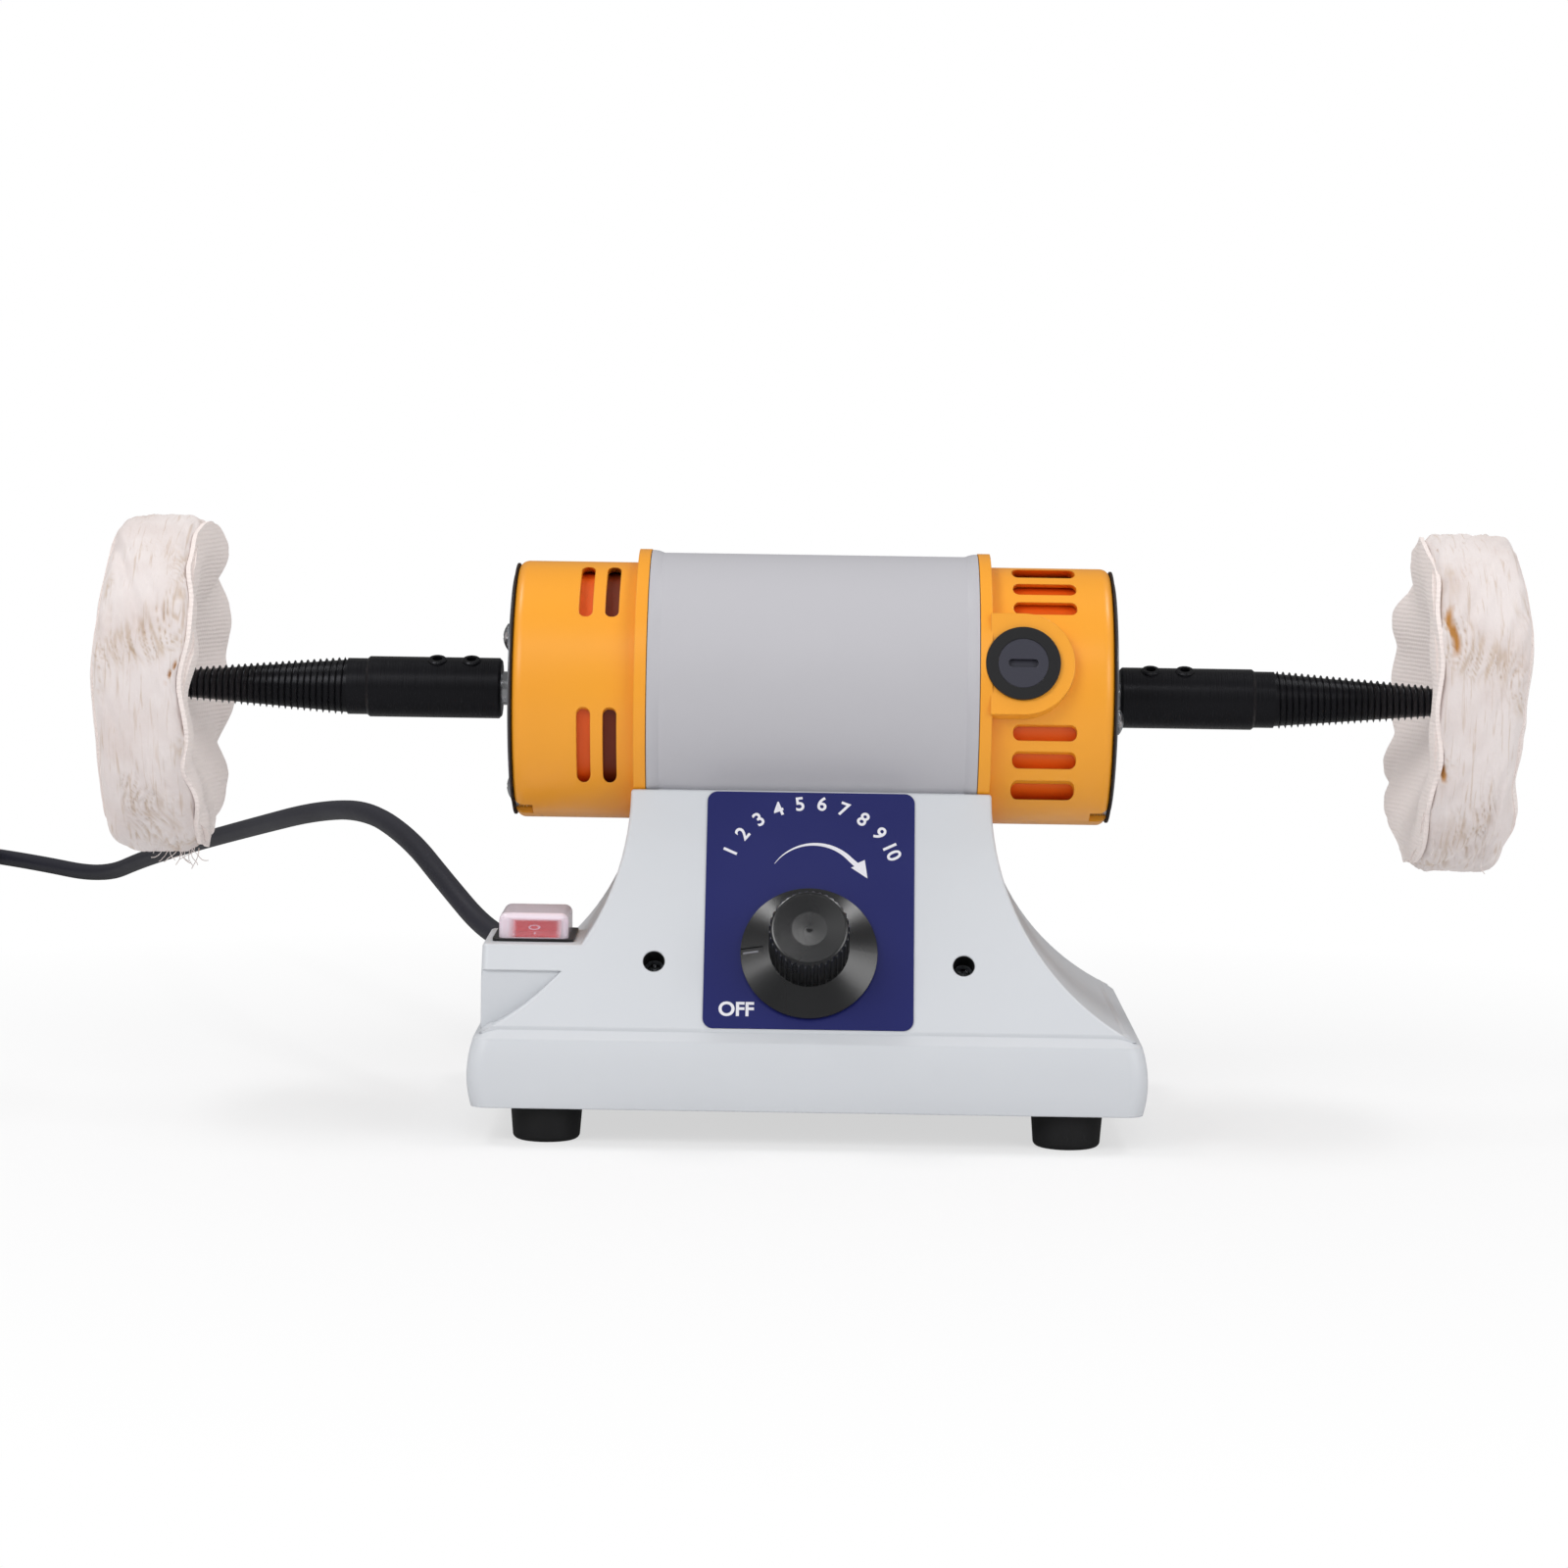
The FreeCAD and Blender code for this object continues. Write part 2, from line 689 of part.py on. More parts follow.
bushing_hole = on_panel(rod("bushing_hole", "bushing_radius + slip", "20"))
bushing_hole.setExpression("Placement.Base.y", tied(f"{KNOB_Y} + 10 * cos(panel_lean)"))
bushing_hole.setExpression("Placement.Base.z", tied(f"{KNOB_LEVEL} - 10 * sin(panel_lean)"))
holes.append(bushing_hole)
lead_hole = rod("lead_hole", "5", "20")
holes.append(place(lead_hole, "0", "axis_offset", "axis_height - sleeve_radius - 12"))
switch_hole = block(
    "switch_hole", "switch_body_width + 2 * slip", "switch_body_length + 2 * slip", "12"
)
holes.append(place(
    switch_hole, "-switch_centre - switch_body_width / 2 - slip",
    "-switch_middle - switch_body_length / 2 - slip", f"{BOX_TOP} - 8",
))
cord_hole = rod("cord_hole", "cord_radius + 1.6 + slip", "14")
CORD_X, CORD_Z = "-84", "46"
holes.append(place(cord_hole, CORD_X, "-box_back + 4", CORD_Z, X_AXIS, "90"))

hollow_with_bosses = cut("hollow_with_bosses", hollow, joined("boss_group", *bosses))
shell = cut("base_shell", outer, hollow_with_bosses)
base_housing = keep(cut("base_housing_cut", shell, joined("base_holes", *holes)),
                    "base_housing")

bottom_plate = new_body("bottom_plate_body")
drawn = sketch_on(bottom_plate, "XY_Plane", "foot_height")
half = "(plinth_half_width - wall - slip)"
deep = "(plinth_half_depth - wall - slip)"
rounded(drawn, f"-{half}", half, f"-{deep}", deep, "(plinth_corner - wall)")
for sx in SIDES:
    for sy in SIDES:
        circle(drawn, f"{sx} * foot_spread", f"{sy} * foot_reach", "2.1")
feature(bottom_plate, "Pad", drawn, "plate_thickness")
keep(bottom_plate, "bottom_plate")


def foot(sx, sy):
    """A moulded rubber foot with a sunk seat for its screw."""
    body = new_body("foot")
    low = "(foot_radius - foot_taper)"
    spun(body, [
        ("2.1", "foot_recess_depth"), ("foot_recess_radius", "foot_recess_depth"),
        ("foot_recess_radius", "0"), (f"{low} - 1.6", "0", "1.6", 1),
        (low, "1.6"), ("foot_radius", "foot_height"), ("2.1", "foot_height"),
    ])
    return place(body, f"{sx} * foot_spread", f"{sy} * foot_reach", "0")


def pan_screw(name, head, head_height, shank, length):
    """A cross-head pan screw: head above its own origin, shank below it."""
    body = new_body(name)
    skirt = f"({head_height} * 0.3)"
    rise = f"({head_height} - {skirt})"
    spun(body, [
        ("0", f"-{length}"), (shank, f"-{length}"), (shank, "0"), (head, "0"),
        (head, skirt, f"(({head}^2 + {rise}^2) / (2 * {rise}))", 1), ("0", head_height),
    ])
    return body


keep(group("feet_group", *[foot(sx, sy) for sx in SIDES for sy in SIDES]), "rubber_feet")
foot_screws = []
for sx in SIDES:
    for sy in SIDES:
        screw = pan_screw("foot_screw", "foot_screw_head", "foot_screw_rise",
                          "foot_screw_shank", "foot_screw_length")
        foot_screws.append(place(
            screw, f"{sx} * foot_spread", f"{sy} * foot_reach", "foot_recess_depth",
            X_AXIS, "180",
        ))
keep(group("foot_screw_group", *foot_screws), "foot_screws")

panel_screws = []
for sx in SIDES:
    screw = pan_screw("panel_screw", "panel_screw_head", "panel_screw_rise",
                      "panel_screw_shank", "panel_screw_length")
    panel_screws.append(on_panel(
        screw, f"{sx} * panel_screw_spread",
        f"{SCREW_LEVEL} - counterbore_depth * sin(panel_lean)",
        f"{SCREW_Y} + counterbore_depth * cos(panel_lean)",
    ))
keep(group("panel_screw_group", *panel_screws), "panel_screws")

bracket = new_body("board_bracket_body")
drawn = sketch_on(bracket, "XY_Plane", "-(screw_boss_depth + bracket_sheet)")
rounded(drawn, "-(panel_screw_spread + bracket_margin)", "(panel_screw_spread + bracket_margin)",
        "-(panel_screw_drop + bracket_drop)", "(bracket_rise - panel_screw_drop)",
        "bracket_corner")
for sx in SIDES:
    circle(drawn, f"{sx} * panel_screw_spread", "-panel_screw_drop / cos(panel_lean)",
           "panel_screw_shank + 2 * slip")
feature(bracket, "Pad", drawn, "bracket_sheet")
keep(on_panel(bracket), "board_bracket")

BOARD_BACK = "(screw_boss_depth + bracket_sheet + board_stand + board_thickness)"
BOARD_MIDDLE = "(-panel_screw_drop - 1)"
spacers = []
for sx in SIDES:
    for sy in SIDES:
        spacer = new_body("board_spacer")
        drawn = sketch_on(spacer, "XY_Plane", "-(screw_boss_depth + bracket_sheet)")
        circle(drawn, f"{sx} * (board_half_width - 3)",
               f"{BOARD_MIDDLE} + {sy} * (board_half_height - 3)", "2.2")
        feature(spacer, "Pad", drawn, "board_stand", False, True)
        spacers.append(on_panel(spacer))
keep(group("spacer_group", *spacers), "board_spacers")
board = new_body("control_board_body")
drawn = sketch_on(board, "XY_Plane", f"-{BOARD_BACK}")
rounded(drawn, "-board_half_width", "board_half_width",
        f"{BOARD_MIDDLE} - board_half_height", f"{BOARD_MIDDLE} + board_half_height", "1.5")
feature(board, "Pad", drawn, "board_thickness")
keep(on_panel(board), "control_board")
heat_sink = new_body("heat_sink")
drawn = sketch_on(heat_sink, "XY_Plane", f"-{BOARD_BACK}")
box_outline(drawn, "-26", "-6", f"{BOARD_MIDDLE} - 8", f"{BOARD_MIDDLE} + 8")
feature(heat_sink, "Pad", drawn, "14", False, True)
fins = sketch_on(heat_sink, "XY_Plane", f"-{BOARD_BACK} - 3")
for k in range(4):
    box_outline(fins, f"-24 + {k} * 4.6", f"-21.8 + {k} * 4.6",
                f"{BOARD_MIDDLE} - 9", f"{BOARD_MIDDLE} + 9")
feature(heat_sink, "Pocket", fins, "12")
capacitor = new_body("capacitor")
drawn = circle(sketch_on(capacitor, "XY_Plane", f"-{BOARD_BACK}"), "8", BOARD_MIDDLE, "6.5")
feature(capacitor, "Pad", drawn, "15", False, True)
choke = new_body("choke")
drawn = sketch_on(choke, "XY_Plane", f"-{BOARD_BACK}")
circle(drawn, "23", BOARD_MIDDLE, "5.5")
circle(drawn, "23", BOARD_MIDDLE, "2.2")
feature(choke, "Pad", drawn, "8", False, True)
keep(group("board_part_group", on_panel(heat_sink), on_panel(capacitor), on_panel(choke)),
     "board_parts")

# ---------------------------------------------------------------- control panel

# Up the slope from its foot: the sleeve's foremost point across it, and the label's top.
AWAY, RISE = f"({PANEL_FOOT} + axis_offset)", f"(axis_height - {LEDGE_TOP})"
SLEEVE_UP = f"({AWAY} * sin(panel_lean) + {RISE} * cos(panel_lean))"
SLEEVE_OUT = f"({AWAY} * cos(panel_lean) - {RISE} * sin(panel_lean))"
HALF_CHORD = f"sqrt(max(0; (sleeve_radius + label_thickness)^2 - {SLEEVE_OUT}^2))"
LABEL_CEILING = (
    f"min(({TOWER_HEIGHT} - label_top) / cos(panel_lean); "
    f"{SLEEVE_UP} - {HALF_CHORD} - label_thickness)"
)
label = new_body("dial_label_body")
drawn = sketch_on(label, "XY_Plane")
rounded(drawn, "-label_half_width", "label_half_width",
        "label_foot / cos(panel_lean) - knob_rise / cos(panel_lean)",
        f"{LABEL_CEILING} - knob_rise / cos(panel_lean)", "label_corner")
circle(drawn, "0", "0", "8")
feature(label, "Pad", drawn, "label_thickness")
keep(on_panel(label), "dial_label")

knob = new_body("speed_knob_body")
rim = "(label_thickness + skirt_lift)"
shelf = f"({rim} + skirt_edge)"
neck = f"({shelf} + skirt_cone)"
face = f"({neck} + grip_length)"
spun(knob, [
    ("control_shaft_radius + fit", "4.2"), ("9", "4.2"), ("9", f"{rim} + 0.3"),
    ("skirt_radius - 1.8", f"{rim} + 0.3"), ("skirt_radius - 1.8", rim),
    ("skirt_radius", rim), ("skirt_radius", shelf), ("grip_radius", neck),
    ("grip_radius - grip_draft", f"{face} - grip_round", "grip_round", 1),
    ("grip_radius - grip_draft - grip_round", face), ("5", f"{face} - 0.5"),
    ("0", f"{face} - 0.7"), ("0", f"{face} - 5"),
    ("control_shaft_radius + fit", f"{face} - 5"),
])
# The groove across the skirt that shows the setting, as deep all the way up the cone.
cone = "(skirt_cone / (skirt_radius - grip_radius))"
inner_end = "(skirt_radius - pointer_length)"
groove = outline(sketch_on(knob, "XZ_Plane"), [
    ("-skirt_radius - 1", f"{shelf} - pointer_depth"),
    ("-skirt_radius", f"{shelf} - pointer_depth"),
    (f"-{inner_end}", f"{shelf} + pointer_length * {cone} - pointer_depth"),
    (f"-{inner_end}", f"{neck} + 1"), ("-skirt_radius - 1", f"{neck} + 1"),
])
feature(knob, "Pocket", groove, "pointer_width", True)
flute = circle(sketch_on(knob, "XY_Plane", neck), "grip_radius + 0.05", "0", "flute_radius")
flute_cut = feature(knob, "Pocket", flute, "grip_length + 2", False, True)
around(knob, flute_cut, "Z_Axis", "flute_count")
keep(on_panel(knob), "speed_knob")

pot_shaft = rod("control_shaft_rod", "control_shaft_radius", f"{face} - 5.2 + wall + 5")
on_panel(pot_shaft, "0", f"{KNOB_LEVEL} - (wall + 5) * sin(panel_lean)",
         f"{KNOB_Y} + (wall + 5) * cos(panel_lean)")
keep(pot_shaft, "control_shaft")

pot = new_body("speed_control_body")
spun(pot, [
    ("control_shaft_radius + slip", "bushing_stand"), ("bushing_radius", "bushing_stand"),
    ("bushing_radius", "-wall"), ("pot_radius", "-wall"), ("pot_radius", "-wall - pot_depth"),
    ("0", "-wall - pot_depth"), ("0", "-wall - 6"),
    ("control_shaft_radius + slip", "-wall - 6"),
])
keep(on_panel(pot), "speed_control")

nut = new_body("bushing_nut_body")
drawn = sketch_on(nut, "XY_Plane")
across = 6.9
hexagon = [(f"{across * math.cos(math.radians(60 * k)):.4f}",
            f"{across * math.sin(math.radians(60 * k)):.4f}") for k in range(6)]
outline(drawn, hexagon)
circle(drawn, "0", "0", "bushing_radius + fit")
feature(nut, "Pad", drawn, "2")
keep(on_panel(nut), "bushing_nut")

# ---------------------------------------------------------------- switch

switch = new_body("switch_frame_body")
drawn = sketch_on(switch, "XY_Plane")
rounded(drawn, "-bezel_width / 2", "bezel_width / 2", "-bezel_length / 2",
        "bezel_length / 2", "1.5")
feature(switch, "Pad", drawn, "bezel_height")
drawn = sketch_on(switch, "XY_Plane")
box_outline(drawn, "-switch_body_width / 2", "switch_body_width / 2",
            "-switch_body_length / 2", "switch_body_length / 2")
feature(switch, "Pad", drawn, "switch_body_depth", False, True)
drawn = sketch_on(switch, "XY_Plane", "bezel_height")
box_outline(drawn, "-rocker_width / 2 - air", "rocker_width / 2 + air",
            "-rocker_length / 2 - air - 0.4", "rocker_length / 2 + air + 0.4")
feature(switch, "Pocket", drawn, "bezel_height + 9")
drawn = circle(sketch_on(switch, "YZ_Plane"), "0", "-pivot_sink", "trunnion_radius + fit")
feature(switch, "Pocket", drawn, "2 * (trunnion_reach + slip)", True)
place(switch, "-switch_centre", "-switch_middle", BOX_TOP)
keep(switch, "switch_body")

rocker = new_body("switch_rocker_body")
drawn = outline(sketch_on(rocker, "YZ_Plane"), [
    ("-rocker_length / 2", "pivot_sink - 1"), ("-rocker_length / 2 + 2", "-1.5"),
    ("-3", "-2.8"), ("3", "-2.8"), ("rocker_length / 2 - 2", "-1.5"),
    ("rocker_length / 2", "pivot_sink - 1"),
    ("rocker_length / 2 - 0.4", "pivot_sink + 3"), ("0", "pivot_sink + 1.5"),
    ("-rocker_length / 2 + 0.4", "pivot_sink + 3"),
])
feature(rocker, "Pad", drawn, "rocker_width", True)
drawn = circle(sketch_on(rocker, "YZ_Plane"), "0", "0", "trunnion_radius")
feature(rocker, "Pad", drawn, "2 * trunnion_reach", True)
place(rocker, "-switch_centre", "-switch_middle", f"{BOX_TOP} - pivot_sink",
      X_AXIS, "rocker_tilt")
keep(rocker, "switch_rocker")

cover = new_body("splash_cover_body")
drawn = sketch_on(cover, "XY_Plane", "bezel_height")
rounded(drawn, "-cover_width / 2", "cover_width / 2", "-cover_length / 2",
        "cover_length / 2", "2.5")
feature(cover, "Pad", drawn, "cover_height")
COVER_TOP = "(bezel_height + cover_height)"
soften(cover, "cover_round", lambda edge: all(
    abs(corner.Z - number(COVER_TOP)) < NEAR for corner in edge.Vertexes
))
drawn = sketch_on(cover, "XY_Plane", "bezel_height")
rounded(drawn, "-cover_width / 2 + cover_wall", "cover_width / 2 - cover_wall",
        "-cover_length / 2 + cover_wall", "cover_length / 2 - cover_wall", "1.5")
feature(cover, "Pocket", drawn, "cover_height - cover_wall", False, True)
soften(cover, "cover_round - cover_wall", lambda edge: all(
    abs(corner.Z - number(f"{COVER_TOP} - cover_wall")) < NEAR for corner in edge.Vertexes
))
place(cover, "-switch_centre", "-switch_middle", BOX_TOP)
keep(cover, "splash_cover")

tabs = []
for spot in (-8, 0, 8):
    tab = block("switch_tab", "4.8", "0.8", "8")
    tabs.append(place(tab, "-switch_centre - 2.4", f"-switch_middle + {spot} - 0.4",
                      f"{BOX_TOP} - switch_body_depth - 8"))
keep(group("switch_tab_group", *tabs), "switch_tabs")

# ---------------------------------------------------------------- motor casing

sleeve = new_body("motor_sleeve_body")
plain = "(sleeve_half_length - flare_length)"
lip = "(sleeve_radius + sleeve_flare)"
bow = "((flare_length^2 + sleeve_flare^2) / (2 * sleeve_flare))"
turned(sleeve, [
    ("-sleeve_half_length", SLEEVE_BORE), ("sleeve_half_length", SLEEVE_BORE),
    ("sleeve_half_length", lip, bow, 1), (plain, "sleeve_radius"),
    (f"-{plain}", "sleeve_radius", bow, 1), ("-sleeve_half_length", lip),
])
for sx in SIDES:
    hole = sketch_on(sleeve, "XY_Plane", "-sleeve_radius - 2")
    circle(hole, f"{sx} * bolt_spread", "0", "bolt_radius + slip")
    feature(sleeve, "Pocket", hole, "sleeve_wall + 6", False, True)
hole = sketch_on(sleeve, "XY_Plane", "-sleeve_radius - 2")
circle(hole, "0", "0", "5")
feature(sleeve, "Pocket", hole, "sleeve_wall + 6", False, True)
keep(on_motor_axis(sleeve), "motor_sleeve")


def screw_turn(side, k):
    first = "end_screw_turn_right" if side > 0 else "end_screw_turn_left"
    return f"({first} + 120 * {k})"


def drill_end(body, side):
    """The three screw holes through one end's cover, gasket or cap."""
    drawn = sketch_on(body, "YZ_Plane", f"{side} * ({CAP_END} + 4)")
    for k in range(3):
        turn = screw_turn(side, k)
        circle(drawn, f"-end_screw_circle * cos({turn})", f"end_screw_circle * sin({turn})",
               "end_screw_shank + slip")
    return feature(body, "Pocket", drawn, "4 + cap_wall - 0.2", False, side < 0)


def end_cap(name, side):
    """The yellow end cap: spigot, flange, thin round wall and the bearing seat."""
    body = new_body(name)

    def out(place_along):
        return f"{side} * ({place_along})"

    seat = "bearing_station"
    seat_out = "(bearing_station + bearing_width)"
    lip_radius = "(bearing_radius - 2)"
    corners = [
        (out(f"{CAP_FACE} - spigot_length"), f"{SLEEVE_BORE} - slip - cap_wall"),
        (out(f"{CAP_FACE} - spigot_length"), f"{SLEEVE_BORE} - slip"),
        (out(CAP_FACE), f"{SLEEVE_BORE} - slip"),
        (out(CAP_FACE), "flange_radius"),
        (out(f"{CAP_FACE} + flange_thickness"), "flange_radius"),
        (out(f"{CAP_FACE} + flange_thickness"), "cap_radius"),
        (out(f"{CAP_END} - cap_corner"), "cap_radius", "cap_corner", -side),
        (out(CAP_END), "cap_radius - cap_corner"),
        (out(CAP_END), lip_radius),
        (out(seat_out), lip_radius),
        (out(seat_out), "bearing_radius + fit"),
        (out(seat), "bearing_radius + fit"),
        (out(seat), "bearing_radius + bearing_seat_wall"),
        (out(f"{CAP_END} - cap_wall"), "bearing_radius + bearing_seat_wall"),
        (out(f"{CAP_END} - cap_wall"), CAP_BORE),
        (out(f"{CAP_FACE} + 2"), CAP_BORE),
    ]
    if side < 0:
        corners = [(c[0], c[1]) if len(c) == 2 else (c[0], c[1], c[2], 1) for c in corners]
    turned(body, corners)
    drill_end(body, side)
    return body


def notch(side):
    """The small window cut in the cap's lower front edge."""
    body = new_body("cap_notch")
    start = f"({side} * ({CAP_END} - notch_length))"
    stop = f"({side} * ({CAP_END} + 1))"
    left, right = (start, stop) if side > 0 else (stop, start)
    box_outline(sketch_on(body, "XY_Plane", f"{CAP_BORE} - 0.6"), left, right,
                "-notch_half_width", "notch_half_width")
    feature(body, "Pad", body.Group[-1], "cap_wall + 4")
    return place(body, "0", "axis_offset", "axis_height", X_AXIS, "90 + notch_angle")


left_cap = end_cap("left_cap_body", -1)
columns = sketch_on(left_cap, "XZ_Plane", None, "-pull_tilt")
for column in ("vent_column_first", "vent_column_second"):
    for s in SIDES:
        low, high = ("vent_column_low", "vent_column_high")
        a, b = (low, high) if s > 0 else (f"-{high}", f"-{low}")
        rounded(columns, f"-{column} - vent_column_width / 2",
                f"-{column} + vent_column_width / 2", a, b, "vent_column_width * 0.45")
feature(left_cap, "Pocket", columns, "3 * cap_radius", True)
on_motor_axis(left_cap)
keep(cut("left_cap_notched", left_cap, notch(-1)), "left_end_cap")

right_cap = end_cap("right_cap_body", 1)
rows = sketch_on(right_cap, "XZ_Plane", None, "-pull_tilt")
for k in range(3):
    for s in SIDES:
        middle = f"{s} * (vent_row_first + {k} * vent_row_pitch)"
        rounded(rows, "vent_row_inner", "vent_row_outer",
                f"{middle} - vent_row_height / 2", f"{middle} + vent_row_height / 2",
                "vent_row_height * 0.45")
feature(right_cap, "Pocket", rows, "3 * cap_radius", True)
on_motor_axis(right_cap)
boss_shapes = []
bore_shapes = []
for side in (0, 1):
    boss = new_body("brush_boss")
    drawn = sketch_on(boss, "XY_Plane", CAP_BORE + " - 6")
    back = f"({CAP_FACE} + flange_thickness - 0.5 - brush_station)"
    reach = "brush_boss_radius"
    outline(drawn, [
        (back, f"-{reach}"), ("0", f"-{reach}", reach, 1), (reach, "0", reach, 1),
        ("0", reach), (back, reach),
    ])
    feature(boss, "Pad", drawn, f"brush_boss_reach - ({CAP_BORE} - 6)")
    boss_shapes.append(on_brush_line(boss, side))
    bore = rod("brush_bore", "brush_tube_radius + fit", "60")
    bore_shapes.append(on_brush_line(bore, side))
    seat = new_body("collar_seat")
    drawn = sketch_on(seat, "XY_Plane", "brush_boss_reach")
    circle(drawn, "0", "0", "brush_collar_radius + slip")
    feature(seat, "Pad", drawn, "6")
    bore_shapes.append(on_brush_line(seat, side))
right_solid = cut("right_cap_bored", joined("right_cap_bossed", right_cap, *boss_shapes),
                  joined("brush_bores", *bore_shapes, notch(1)))
keep(right_solid, "right_end_cap")

brackets = []
for side in SIDES:
    bracket = new_body("bearing_bracket")
    outer_side = f"{side} * ({CAP_END} - cap_wall)"
    inner_side = f"{side} * ({CAP_END} - cap_wall - bracket_thickness)"
    rim_in = "(bearing_radius + bearing_seat_wall + slip)"
    turned(bracket, [
        (inner_side, rim_in), (outer_side, rim_in), (outer_side, f"{CAP_BORE} - slip"),
        (inner_side, f"{CAP_BORE} - slip"),
    ])
    window = sketch_on(bracket, "YZ_Plane")
    circle(window, "0", f"({CAP_BORE} + {rim_in}) / 2", "5")
    window_cut = feature(bracket, "Pocket", window, f"3 * {CAP_END}", True)
    around(bracket, window_cut, "X_Axis", "6")
    brackets.append(on_motor_axis(bracket))
keep(group("bearing_bracket_group", *brackets), "bearing_brackets")

for side, word in ((-1, "left"), (1, "right")):
    gasket = new_body(f"{word}_gasket_body")
    end = f"{side} * {CAP_END}"
    turned(gasket, [
        (end, "shaft_hole_radius"), (f"{side} * {PLATE_FACE}", "shaft_hole_radius"),
        (f"{side} * {PLATE_FACE}", "gasket_radius"), (end, "gasket_radius"),
    ])
    drill_end(gasket, side)
    keep(on_motor_axis(gasket), f"{word}_gasket")
    plate = new_body(f"{word}_plate_body")
    outer_face = f"{side} * ({PLATE_FACE} + end_plate_thickness)"
    turned(plate, [
        (f"{side} * {PLATE_FACE}", "shaft_hole_radius"), (outer_face, "shaft_hole_radius"),
        (outer_face, "end_plate_radius"), (f"{side} * {PLATE_FACE}", "end_plate_radius"),
    ])
    drill_end(plate, side)
    keep(on_motor_axis(plate), f"{word}_end_plate")

END_GRIP = "(gasket_thickness + end_plate_thickness + cap_wall - 0.5)"
end_screws = []
for side in SIDES:
    for k in range(3):
        turn = screw_turn(side, k)
        screw = pan_screw("end_screw", "end_screw_radius", "2.0", "end_screw_shank",
                          END_GRIP)
        screw_x = f"{side} * ({PLATE_FACE} + end_plate_thickness)"
        screw_y = f"axis_offset - end_screw_circle * cos({turn})"
        screw_z = f"axis_height + end_screw_circle * sin({turn})"
        end_screws.append(place(screw, screw_x, screw_y, screw_z,
                                Y_AXIS, f"{side} * 90"))
keep(group("end_screw_group", *end_screws), "end_plate_screws")

# ---------------------------------------------------------------- brush gear

caps, collars, tubes, brushes, springs = [], [], [], [], []
for side in (0, 1):
    collar = ring_of("brush_collar", "brush_collar_radius", "brush_cap_radius + slip",
                     "brush_collar_height")
    on_brush_line(collar, side)
    collar.setExpression("Placement.Base.y", tied(
        f"axis_offset - {1 - 2 * side} * brush_boss_reach * cos(pull_tilt)"))
    collar.setExpression("Placement.Base.z", tied(
        f"axis_height + {1 - 2 * side} * brush_boss_reach * sin(pull_tilt)"))
    collars.append(collar)
    cap = new_body("brush_cap_body")
    level = "brush_boss_reach"
    spun(cap, [
        ("0", f"{level} - 4"), ("brush_tube_radius", f"{level} - 4"),
        ("brush_tube_radius", level),
        ("brush_cap_radius", level),
        ("brush_cap_radius", f"{level} + brush_collar_height - 0.1"),
        ("0", f"{level} + brush_collar_height - 0.1"),
    ])
    slot = sketch_on(cap, "XY_Plane", f"{level} + brush_collar_height")
    rounded(slot, "-4.3", "4.3", "-1.2", "1.2", "1.1")
    feature(cap, "Pocket", slot, "1.6")
    caps.append(on_brush_line(cap, side))
    tube = new_body("brush_tube")
    drawn = sketch_on(tube, "XY_Plane", "commutator_radius + 2")
    circle(drawn, "0", "0", "brush_tube_radius")
    box_outline(drawn, "-brush_half_length - fit", "brush_half_length + fit",
                "-brush_half_width - fit", "brush_half_width + fit")
    feature(tube, "Pad", drawn, "brush_boss_reach - 4 - commutator_radius - 2")
    tubes.append(on_brush_line(tube, side))
    carbon = new_body("carbon_brush")
    drawn = sketch_on(carbon, "XY_Plane", "commutator_radius + brush_gap")
    box_outline(drawn, "-brush_half_length", "brush_half_length",
                "-brush_half_width", "brush_half_width")
    feature(carbon, "Pad", drawn, "brush_length")
    brushes.append(on_brush_line(carbon, side))
    spring = new_body("brush_spring_form")
    wire = sketch_on(spring, "XZ_Plane")
    start = "(commutator_radius + brush_gap + brush_length)"
    room = f"(brush_boss_reach - 4 - {start})"
    circle(wire, "brush_half_width - spring_wire - 0.2", f"{start} + spring_wire",
           "spring_wire")
    helix = spring.newObject("PartDesign::AdditiveHelix", "brush_spring")
    helix.Profile = wire
    helix.ReferenceAxis = (wire, ["V_Axis"])
    helix.Mode = "height-turns-angle"
    bind(helix, Height=f"{room} - 2 * spring_wire", Turns="spring_turns")
    springs.append(on_brush_line(spring, side))
keep(group("collar_group", *collars), "brush_collars")
keep(group("cap_group", *caps), "brush_caps")
keep(group("tube_group", *tubes), "brush_holders")
keep(group("brush_group", *brushes), "carbon_brushes")
keep(group("spring_group", *springs), "brush_springs")

# ---------------------------------------------------------------- bearings

